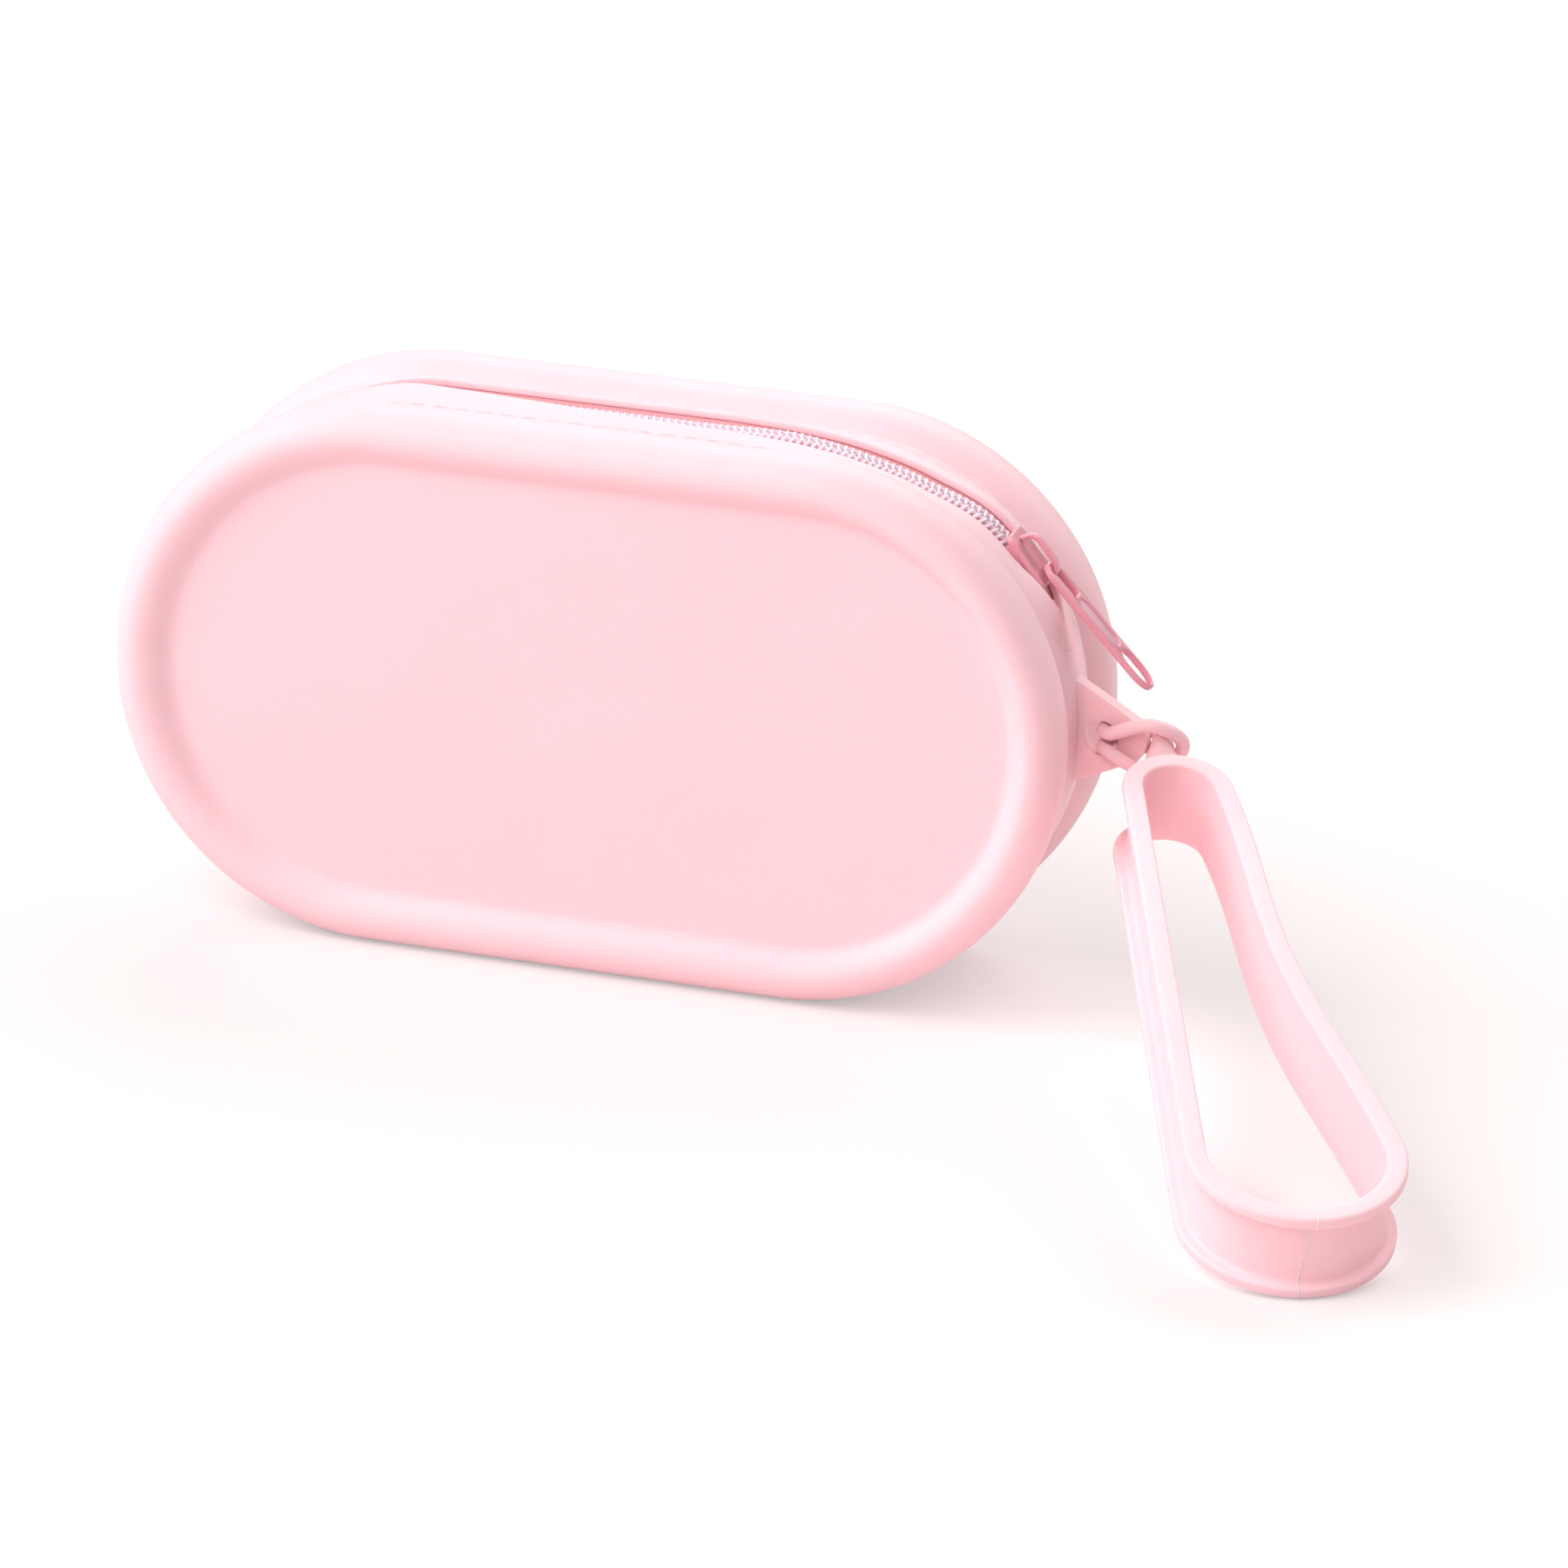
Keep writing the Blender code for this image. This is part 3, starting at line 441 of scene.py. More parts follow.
@dataclass(frozen=True)
class Enamel(Finish):
    """Baked paint on cast metal, a little thinner and brighter on its worn edges."""

    roughness: float = 0.32
    roughness_swing: Pair = (0.04, 0.06)
    cloud_size: float = 3.0 * MM
    grain_size: float = 0.25 * MM
    grain_strength: float = 0.25
    grain_depth: float = 0.012 * MM
    edge_colour: Triple = (0.86, 0.50, 0.55)
    worn_edges: Pair = (0.52, 0.60)
    least_wear: float = 0.35
    coat: float = 0.5
    coat_roughness: float = 0.14

    def build(self, effects: Effects) -> Material:
        """Make the material.

        Args:
            effects: Shared node groups.

        Returns:
            The material.
        """
        material, build, shader, _, mask = self.start(effects)
        pointed = build.add("NewGeometry").outputs["Pointiness"]
        wear = build.math("MULTIPLY", build.remap(pointed, *self.worn_edges, 0.0, 1.0),
                          build.remap(mask, 0.0, 1.0, self.least_wear, 1.0))
        build.feed(shader, {
            "Base Color": build.blend(wear, (*self.colour, 1.0), (*self.edge_colour, 1.0)),
            "Coat Weight": self.coat,
            "Coat Roughness": self.coat_roughness,
        })
        return material


def new_material(name: str) -> tuple[Material, NodeBuilder, Node]:
    """Start a material with its Principled shader.

    Args:
        name: The material's name.

    Returns:
        The material, a builder for its nodes and the shader's node.
    """
    material = bpy.data.materials.new(name)
    material.use_nodes = True
    tree = material.node_tree
    return material, NodeBuilder(tree), tree.nodes["Principled BSDF"]


def new_object(bm: BMesh, name: str, material: Material) -> Object:
    """Make an object of one material from a bmesh.

    Args:
        bm: Its geometry, which is freed.
        name: Its name.
        material: Its material.

    Returns:
        The object, linked to the scene.
    """
    mesh = bpy.data.meshes.new(name)
    bm.to_mesh(mesh)
    bm.free()
    mesh.materials.append(material)
    made = bpy.data.objects.new(name, mesh)
    bpy.context.scene.collection.objects.link(made)
    return made


@dataclass
class Workshop:
    """Turns finished meshes into pieces of the bag, each on its body."""

    effects: Effects
    crease: float = math.radians(42.0)
    made: dict[str, Material] = field(default_factory=dict)

    def finish(self, finish: Finish | Woven) -> Material:
        """Return a finish's material, built once.

        Args:
            finish: The finish.

        Returns:
            Its material.
        """
        if finish.name not in self.made:
            self.made[finish.name] = finish.build(self.effects)
        return self.made[finish.name]

    def add(self, bm: BMesh, name: str, finish: Finish | Woven, body: Body, slot: str,
            replaces: Sequence[str] = (), turn_out: bool = True) -> None:
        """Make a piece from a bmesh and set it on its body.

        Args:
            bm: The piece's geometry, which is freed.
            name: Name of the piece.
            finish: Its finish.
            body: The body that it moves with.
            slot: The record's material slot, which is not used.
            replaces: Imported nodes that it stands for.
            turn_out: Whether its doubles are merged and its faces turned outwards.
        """
        if turn_out:
            bmesh.ops.remove_doubles(bm, verts=bm.verts, dist=MERGE)
            bmesh.ops.recalc_face_normals(bm, faces=bm.faces)
        piece = new_object(bm, name, self.finish(finish))
        piece.data.shade_smooth()
        piece.data.set_sharp_from_angle(angle=self.crease)
        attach(piece, body.value)
        if replaces:
            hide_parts(*replaces)
        LOG.info("%s: %d faces", name, len(piece.data.polygons))

    def dress(self, node: str, finish: Finish) -> None:
        """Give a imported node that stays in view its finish.

        Args:
            node: The node's name.
            finish: Its finish.
        """
        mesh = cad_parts[node].data
        mesh.materials.clear()
        mesh.materials.append(self.finish(finish))
        LOG.info("%s: dressed", node)


@dataclass(frozen=True)
class BagPath:
    """Pill-shaped run of the bag, on which a place is a distance, an offset and a radius."""

    end_x: float
    middle_y: float
    centre_z: float
    arc_radius: float
    band_half_width: float = 11.0 * MM
    crown: float = 1.7 * MM
    rise: float = 1.25 * MM
    rise_ranges: tuple[Pair, Pair] = ((-50 * MM, -34 * MM), (14 * MM, 42 * MM))
    sag: float = 1.65 * MM
    sag_ranges: tuple[Pair, Pair] = ((28 * MM, 48 * MM), (54 * MM, 68 * MM))

    @property
    def centre(self) -> Vector:
        """Middle of the right end's curve."""
        return Vector((self.end_x, self.middle_y, self.centre_z))

    @property
    def bend(self) -> float:
        """Length of one end's half turn."""
        return math.pi * self.arc_radius

    @property
    def half_run(self) -> float:
        """Distance from the middle of the top to the middle of the underside."""
        return 2 * self.end_x + self.bend

    def at_angle(self, angle: float) -> float:
        """Distance of a place on the right end, at an angle from the top."""
        return self.end_x + self.arc_radius * angle

    def at_angles(self, angles: Pair) -> Pair:
        """Distances of two places on the right end."""
        return self.at_angle(angles[0]), self.at_angle(angles[1])

    def lift(self, distance: float) -> float:
        """Height of the soft top over its moulded curve, negative where it sags."""
        return (self.rise * hump_share(distance, *self.rise_ranges)
                - self.sag * hump_share(distance, *self.sag_ranges))

    def surface(self, distance: float, offset: float) -> float:
        """Radius of the side band's outer surface at a distance and an offset."""
        share = min((offset / self.band_half_width) ** 2, 1.0)
        return self.arc_radius - self.crown * share + self.lift(distance) * (1 - share)

    def place(self, distance: float, offset: float, radius: float) -> Vector:
        """Point in the frame.

        Args:
            distance: Distance along the bag.
            offset: Offset across it.
            radius: Distance from the bag's core line.

        Returns:
            The point.
        """
        side = math.copysign(1.0, distance)
        beyond = abs(distance) - self.end_x
        y = self.middle_y + offset
        if beyond <= 0:
            return Vector((distance, y, self.centre_z + radius))
        if beyond >= self.bend:
            return Vector((side * (self.end_x + self.bend - beyond), y, self.centre_z - radius))
        angle = beyond / self.arc_radius
        return Vector((side * (self.end_x + radius * math.sin(angle)), y,
                       self.centre_z + radius * math.cos(angle)))

    def over(self, distance: float, offset: float, height: float) -> Vector:
        """Point at a height over the band's outer surface."""
        return self.place(distance, offset, self.surface(distance, offset) + height)


def map_grid(rows: int, columns: int, place: Callable[[int, int], Vector],
             open_cell: Callable[[int, int], bool] | None = None) -> BMesh:
    """Sheet of cells whose corners are moved to their places.

    Args:
        rows: Number of lines of corners in the first direction.
        columns: Number of lines of corners in the second direction.
        place: Rule that gives the place of a corner.
        open_cell: Rule that says whether a cell is left out.

    Returns:
        The sheet, with corners at one place merged.
    """
    bm = bmesh.new()
    bmesh.ops.create_grid(bm, x_segments=rows - 1, y_segments=columns - 1, size=0.5)

    def number(value: float, count: int) -> float:
        """Line of a corner or cell from its place in the flat grid."""
        return (value + 0.5) * (count - 1)

    if open_cell is not None:
        cells = []
        for face in bm.faces:
            middle = face.calc_center_median()
            if open_cell(int(number(middle.x, rows)), int(number(middle.y, columns))):
                cells.append(face)
        bmesh.ops.delete(bm, geom=cells, context="FACES")
    for vert in bm.verts:
        vert.co = place(round(number(vert.co.x, rows)), round(number(vert.co.y, columns)))
    bmesh.ops.remove_doubles(bm, verts=bm.verts, dist=MERGE)
    bmesh.ops.recalc_face_normals(bm, faces=bm.faces)
    return bm


def sharp_edges(bm: BMesh) -> list[BMEdge]:
    """Edges at which two faces meet at a sharp angle."""
    return [edge for edge in bm.edges if edge.is_manifold and edge.calc_face_angle() > SHARP]


def draw_line(bm: BMesh, points: Sequence[Sequence[float]], closed: bool) -> list[BMVert | BMEdge]:
    """Add corners joined by edges, one after the other.

    Args:
        bm: Geometry that grows.
        points: Places of the corners.
        closed: Whether the last corner is joined to the first.

    Returns:
        The corners, then the edges.
    """
    verts = [bm.verts.new(point) for point in points]
    return verts + [bm.edges.new(pair) for pair in zip(verts, verts[1:] + verts[:closed])]


def round_edges(bm: BMesh, edges: Sequence[BMEdge], width: float,
                segments: int = 3) -> None:
    """Round edges by a width on each face, with a number of faces across the rounding."""
    bmesh.ops.bevel(bm, geom=list(edges), offset=width, offset_type="OFFSET", segments=segments,
                    profile=0.5, material=-1, affect="EDGES", clamp_overlap=True)


@dataclass
class Shell:
    """One-piece moulded body: two rimmed panels, the side band with its zip slot, and the lug."""

    path: BagPath
    rim_radius: float
    finish: Silicone
    wall: float = 1.4 * MM
    rim_offset: float = 17.44 * MM
    land_half: float = 0.8 * MM
    crest_depth: float = 6.6 * MM
    crest_drop: float = 4.8 * MM
    panel_recess: float = 2.6 * MM
    panel_slope: float = 5.9 * MM
    foot_share: float = 0.4
    top_foot_share: float = -0.16
    top_slope: float = -1.1 * MM
    left_slope: float = 0.9 * MM
    left_recess: float = 0.8 * MM
    right_slope: float = -1.2 * MM
    panel_rings: tuple[float, ...] = (0.96, 0.84, 0.66, 0.45, 0.22)
    profile_steps: int = 12
    roll_steps: int = 8
    roll_radius: float = 8.2 * MM
    slot_half: float = 4.75 * MM
    slot_angle: float = math.radians(66.0)
    slot_tip: float = 7.0 * MM
    lip_half: float = 0.55 * MM
    lip_rounding: float = 0.45 * MM
    open_start: float = -52 * MM
    open_ends: Pair = (22 * MM, -26 * MM)
    lift: float = 1.7 * MM
    lift_angles: Pair = (math.radians(47.0), math.radians(59.5))
    lift_fade: float = 0.4
    lug_thickness: float = 3.0 * MM
    lug_root_angles: Pair = (math.radians(101.0), math.radians(77.0))
    lug_length: float = 10.1 * MM
    lug_tip_radius: float = 4.2 * MM
    lug_hole_radius: float = 3.0 * MM
    lug_hole_setback: float = 3.8 * MM
    lug_tip_angle: float = math.radians(62)
    lug_tip_steps: int = 16
    lug_root_steps: int = 10
    lug_points: int = 96
    lug_rings: int = 7
    lug_rounding: float = 0.6 * MM
    lug_fillet: float = 0.9 * MM
    lug_flare: float = 0.4
    lug_flare_limit: float = 1.2
    row_step: float = 1.35 * MM
    band_steps: int = 9

    @property
    def slot_end(self) -> float:
        """Distance of the slot's end from the middle of the top."""
        return self.path.at_angle(self.slot_angle)

    @property
    def lug_hole(self) -> Vector:
        """Middle of the lug's hole."""
        reach = self.rim_radius + self.lug_length - self.lug_tip_radius - self.lug_hole_setback
        return Vector((self.path.end_x + reach, self.path.middle_y, self.path.centre_z))

    def lifted(self, distance: float, side: int) -> float:
        """How far, from 0 to 1, a lip stands up beside the slider, as only the front one does.

        Args:
            distance: Distance along the bag.
            side: -1 for the front lip, 1 for the back lip.

        Returns:
            The share of the whole lift.
        """
        if side > 0 or distance < 0:
            return 0.0
        tip = (self.slot_end - distance) / self.slot_tip
        return (smooth_share(distance, *self.path.at_angles(self.lift_angles))
                * smooth_share(tip, 0.0, self.lift_fade))

    def half_opening(self, distance: float, side: int) -> float:
        """Offset of one lip of the slot, whose lips close over its left part.

        Args:
            distance: Distance along the bag.
            side: -1 for the front lip, 1 for the back lip.

        Returns:
            The lip's offset without its sign, 0 beyond the slot's ends.
        """
        wide = smooth_share(distance, self.open_start, self.open_ends[0 if side < 0 else 1])
        half = self.lip_half + (self.slot_half - self.lip_half) * wide
        tip = min(max((self.slot_end - abs(distance)) / self.slot_tip, 0.0), 1.0)
        return half * (1 - (1 - tip) ** 2)

    def moulded_half(self, distance: float) -> list[Pair]:
        """Section of one side (offset from the middle plane, radius), from the panel to the crease.

        Args:
            distance: Distance along the bag, since the panel's edge differs at the two ends.

        Returns:
            The section's points.
        """
        bend = min(max((abs(distance) - self.path.end_x) / self.path.arc_radius, 0.0), math.pi)
        left, right = (math.sin(bend) if distance * sign > 0 else 0.0 for sign in (-1, 1))
        top = max(math.cos(bend), 0.0)
        foot_share = self.foot_share + self.top_foot_share * top
        slope = (self.panel_slope + self.left_slope * left + self.right_slope * right
                 + self.top_slope * top)
        recess = self.panel_recess + self.left_recess * left
        crest = self.rim_offset + self.crest_depth
        crest_radius = self.rim_radius - self.crest_drop
        foot = crest_radius - slope
        points = [(crest - self.panel_recess - (recess - self.panel_recess) * share ** 2, foot * share)
                  for share in reversed(self.panel_rings)]
        for share in spread_evenly(0.0, 1.0, self.profile_steps):
            if share < foot_share:
                rise = share ** 2 / foot_share
            else:
                rise = 1 - (1 - share) ** 2 / (1 - foot_share)
            points.append((crest - recess * (1 - rise), foot + slope * share))
        for turn in spread_evenly(0.0, QUARTER, self.profile_steps)[1:]:
            reach = (self.crest_depth - self.land_half) * math.cos(turn)
            points.append((self.rim_offset + self.land_half + reach,
                           crest_radius + self.crest_drop * math.sin(turn)))
        inner = self.rim_offset - self.land_half
        crease_turn = math.asin((inner - self.path.band_half_width) / self.roll_radius)
        crease_drop = self.rim_radius - self.path.arc_radius + self.path.crown
        roll_drop = self.roll_radius * (1.0 - math.cos(crease_turn))
        for turn in spread_evenly(0.0, crease_turn, self.roll_steps):
            drop = self.roll_radius * (1.0 - math.cos(turn)) * crease_drop / roll_drop
            points.append((inner - self.roll_radius * math.sin(turn), self.rim_radius - drop))
        return points

    def row_distances(self) -> list[float]:
        """Distances of the lines that run across the skin, with one at each end of the slot.

        Returns:
            The distances, from the middle of the underside round to it again.
        """
        path = self.path
        stations = [0.0, path.end_x, self.slot_end - self.slot_tip, self.slot_end,
                    path.end_x + path.bend, path.half_run]
        rows = []
        for low, high in zip(stations, stations[1:]):
            step = self.row_step / 2 if high == self.slot_end else self.row_step
            rows += spread_evenly(low, high, math.ceil((high - low) / step))[:-1]
        rows.append(path.half_run)
        return [-row for row in reversed(rows[1:])] + rows

    def make_skin(self) -> BMesh:
        """Hollow skin with its slot and rounded lips.

        Returns:
            The skin's geometry.
        """
        rows = self.row_distances()
        sections = [self.moulded_half(distance) for distance in rows]
        moulded = len(sections[0])
        half_count = moulded + self.band_steps
        columns = 2 * half_count

        def place(row: int, column: int) -> Vector:
            """Place a corner of the skin.

            Args:
                row: Number of its line across the skin.
                column: Its number in that line, from the front panel to the back panel.

            Returns:
                Its place in the frame.
            """
            distance = rows[row]
            side = -1 if column < half_count else 1
            number = column if side < 0 else columns - 1 - column
            if number < moulded:
                offset, radius = sections[row][number]
                return self.path.place(distance, side * offset, radius)
            share = (number - moulded + 1) / self.band_steps
            edge = self.half_opening(distance, side)
            offset = self.path.band_half_width + (edge - self.path.band_half_width) * share
            rise = self.lift * self.lifted(distance, side) * share ** 2
            return self.path.over(distance, side * offset, rise)

        def in_slot(row: int, column: int) -> bool:
            """Whether a cell lies in the slot."""
            middle = (rows[row] + rows[row + 1]) / 2
            return column == half_count - 1 and abs(middle) < self.slot_end

        bm = map_grid(len(rows), columns, place, in_slot)
        for side in (-1, 1):
            ring = [edge for edge in bm.edges if edge.is_boundary
                    and (edge.verts[0].co.y - self.path.middle_y) * side > self.path.band_half_width]
            bmesh.ops.edgeloop_fill(bm, edges=ring)
        bmesh.ops.recalc_face_normals(bm, faces=bm.faces)
        bmesh.ops.solidify(bm, geom=bm.faces[:], thickness=self.wall)
        band = self.path.band_half_width
        lips = [edge for edge in sharp_edges(bm) if abs(edge.verts[0].co.y - self.path.middle_y) < band]
        round_edges(bm, lips, self.lip_rounding)
        return bm

    def lug_outline(self) -> list[Pair]:
        """Outline of the lug (along X, up) from the middle of the right end, evenly spaced.

        Returns:
            The points, clockwise from the tip's upper side.
        """
        root = self.path.arc_radius - self.wall / 2
        tip = (self.rim_radius + self.lug_length - self.lug_tip_radius, 0.0)
        low, high = self.lug_root_angles
        corners = arc_points(tip, self.lug_tip_radius, self.lug_tip_angle, -self.lug_tip_angle,
                             self.lug_tip_steps)
        corners += [(root * math.sin(angle), root * math.cos(angle))
                    for angle in spread_evenly(low, high, self.lug_root_steps)]
        lengths = [0.0]
        loop = corners + corners[:1]
        for here, there in zip(loop, loop[1:]):
            lengths.append(lengths[-1] + math.dist(here, there))
        points = []
        for place in spread_evenly(0.0, lengths[-1], self.lug_points)[:-1]:
            index = max(number for number, length in enumerate(lengths[:-1]) if length <= place)
            share = (place - lengths[index]) / (lengths[index + 1] - lengths[index])
            here, there = loop[index], loop[index + 1]
            points.append(tuple(a + (b - a) * share for a, b in zip(here, there)))
        return points

    def make_lug(self) -> BMesh:
        """Fin with a round tip and a hole, flared where it grows out of the band.

        Returns:
            The lug's geometry.
        """
        hole = self.lug_hole
        centre = self.path.centre
        outline = [centre + Vector((x, -self.lug_thickness / 2, z)) for x, z in self.lug_outline()]
        middle = hole - Vector((0, self.lug_thickness / 2, 0))
        inner = [middle + (point - middle).normalized() * self.lug_hole_radius for point in outline]
        bm = bmesh.new()
        for loop in (outline, inner):
            draw_line(bm, loop, closed=True)
        bridge = bmesh.ops.bridge_loops(bm, edges=bm.edges[:])
        bmesh.ops.subdivide_edges(bm, edges=bridge["edges"], cuts=self.lug_rings, use_grid_fill=True)
        body = bmesh.ops.extrude_face_region(bm, geom=bm.faces[:])["geom"]
        far = [part for part in body if isinstance(part, BMVert)]
        bmesh.ops.translate(bm, verts=far, vec=(0, self.lug_thickness, 0))
        bmesh.ops.recalc_face_normals(bm, faces=bm.faces)
        round_edges(bm, sharp_edges(bm), self.lug_rounding, 4)
        for vert in bm.verts:
            reach = (vert.co - centre).xz.length - self.path.arc_radius
            near = min(max(1 - reach / self.lug_fillet, 0.0), self.lug_flare_limit)
            vert.co.y += (vert.co.y - centre.y) * self.lug_flare * near * near
        return bm

    def build(self, shop: Workshop) -> None:
        """Make the skin and the lug.

        Args:
            shop: Workshop that turns geometry into pieces.
        """
        shop.add(self.make_skin(), "moulded_shell", self.finish, Body.BAG, "body_silicone",
                 ["body_shell"], turn_out=False)
        shop.add(self.make_lug(), "strap_lug", self.finish, Body.BAG, "body_silicone")


def new_curve(name: str, loops: Sequence[Sequence[Sequence[float]]], closed: bool,
              **settings: object) -> Curve:
    """Start a curve of straight spans.

    Args:
        name: Its name.
        loops: Points of each of its lines, in two or three directions.
        closed: Whether each line ends where it starts.
        **settings: Values of the curve's own properties.

    Returns:
        The curve.
    """
    curve = bpy.data.curves.new(name, "CURVE")
    for label, value in settings.items():
        setattr(curve, label, value)
    for loop in loops:
        spline = curve.splines.new("POLY")
        spline.points.add(len(loop) - 1)
        for point, place in zip(spline.points, loop):
            point.co = (*place, *(0.0,) * (3 - len(place)), 1.0)
        spline.use_cyclic_u = closed
    return curve


def tube(points: Sequence[Vector], diameter: float, sides: int = 8) -> BMesh:
    """Round tube along a line, with closed ends and a number of sides that 4 divides."""
    return take_mesh(new_curve("tube", [points], False, dimensions="3D", bevel_depth=diameter / 2,
                               bevel_resolution=sides // 4 - 1, use_fill_caps=True))


def take_mesh(curve: Curve) -> BMesh:
    """Geometry of a curve, which is then removed.

    Args:
        curve: The curve.

    Returns:
        Its geometry.
    """
    guide = bpy.data.objects.new(curve.name, curve)
    bpy.context.scene.collection.objects.link(guide)
    bpy.context.view_layer.update()
    mesh = bpy.data.meshes.new_from_object(guide.evaluated_get(bpy.context.evaluated_depsgraph_get()))
    bpy.data.objects.remove(guide, do_unlink=True)
    bpy.data.curves.remove(curve)
    bm = bmesh.new()
    bm.from_mesh(mesh)
    bpy.data.meshes.remove(mesh)
    return bm


def flat_plate(loops: Sequence[Sequence[Pair]], thickness: float, rounding: float,
               height: float = 0.0) -> BMesh:
    """Plate with rounded edges from flat outlines.

    Args:
        loops: The plate's edge, then its holes.
        thickness: Its whole thickness.
        rounding: Radius of its edges.
        height: Height of its middle.

    Returns:
        The plate's geometry, flat on X and Y.
    """
    bm = take_mesh(new_curve("plate", loops, True, dimensions="2D", fill_mode="BOTH",
                             extrude=thickness / 2 - rounding, bevel_depth=rounding,
                             bevel_resolution=2, offset=-rounding))
    bmesh.ops.translate(bm, verts=bm.verts, vec=(0, 0, height))
    return bm


def round_ended(low: float, high: float, half_width: float, steps: int = 12,
                stretches: Pair = (1.0, 1.0)) -> list[Pair]:
    """Outline of a slot with round or elliptical ends, from low to high along X.

    Args:
        low: Where it starts.
        high: Where it ends.
        half_width: Half its width.
        steps: Number of steps in each end.
        stretches: How much longer than round its low and high ends are.

    Returns:
        The outline's points.
    """
    points = []
    for end, sign, stretch in ((high, 1, stretches[1]), (low, -1, stretches[0])):
        for x, y in arc_points((0.0, 0.0), half_width, -QUARTER, QUARTER, steps):
            points.append((end + sign * (x - half_width) * stretch, sign * y))
    return points


def round_cornered(low: float, high: float, low_half: float, high_half: float,
                   corner: float) -> list[Pair]:
    """Outline with four round corners, from low to high along X.

    Args:
        low: Where it starts.
        high: Where it ends.
        low_half: Half its width at the start.
        high_half: Half its width at the end.
        corner: Radius of its corners.

    Returns:
        The outline's points.
    """
    centres = ((high - corner, high_half - corner), (low + corner, low_half - corner),
               (low + corner, corner - low_half), (high - corner, corner - high_half))
    points = []
    for turn, centre in enumerate(centres):
        points += arc_points(centre, corner, turn * QUARTER, (turn + 1) * QUARTER, CORNER_STEPS)
    return points


def join(bm: BMesh, part: BMesh) -> None:
    """Add one geometry to another.

    Args:
        bm: Geometry that grows.
        part: Geometry that is added, and then freed.
    """
    mesh = bpy.data.meshes.new("part")
    part.to_mesh(mesh)
    part.free()
    bm.from_mesh(mesh)
    bpy.data.meshes.remove(mesh)


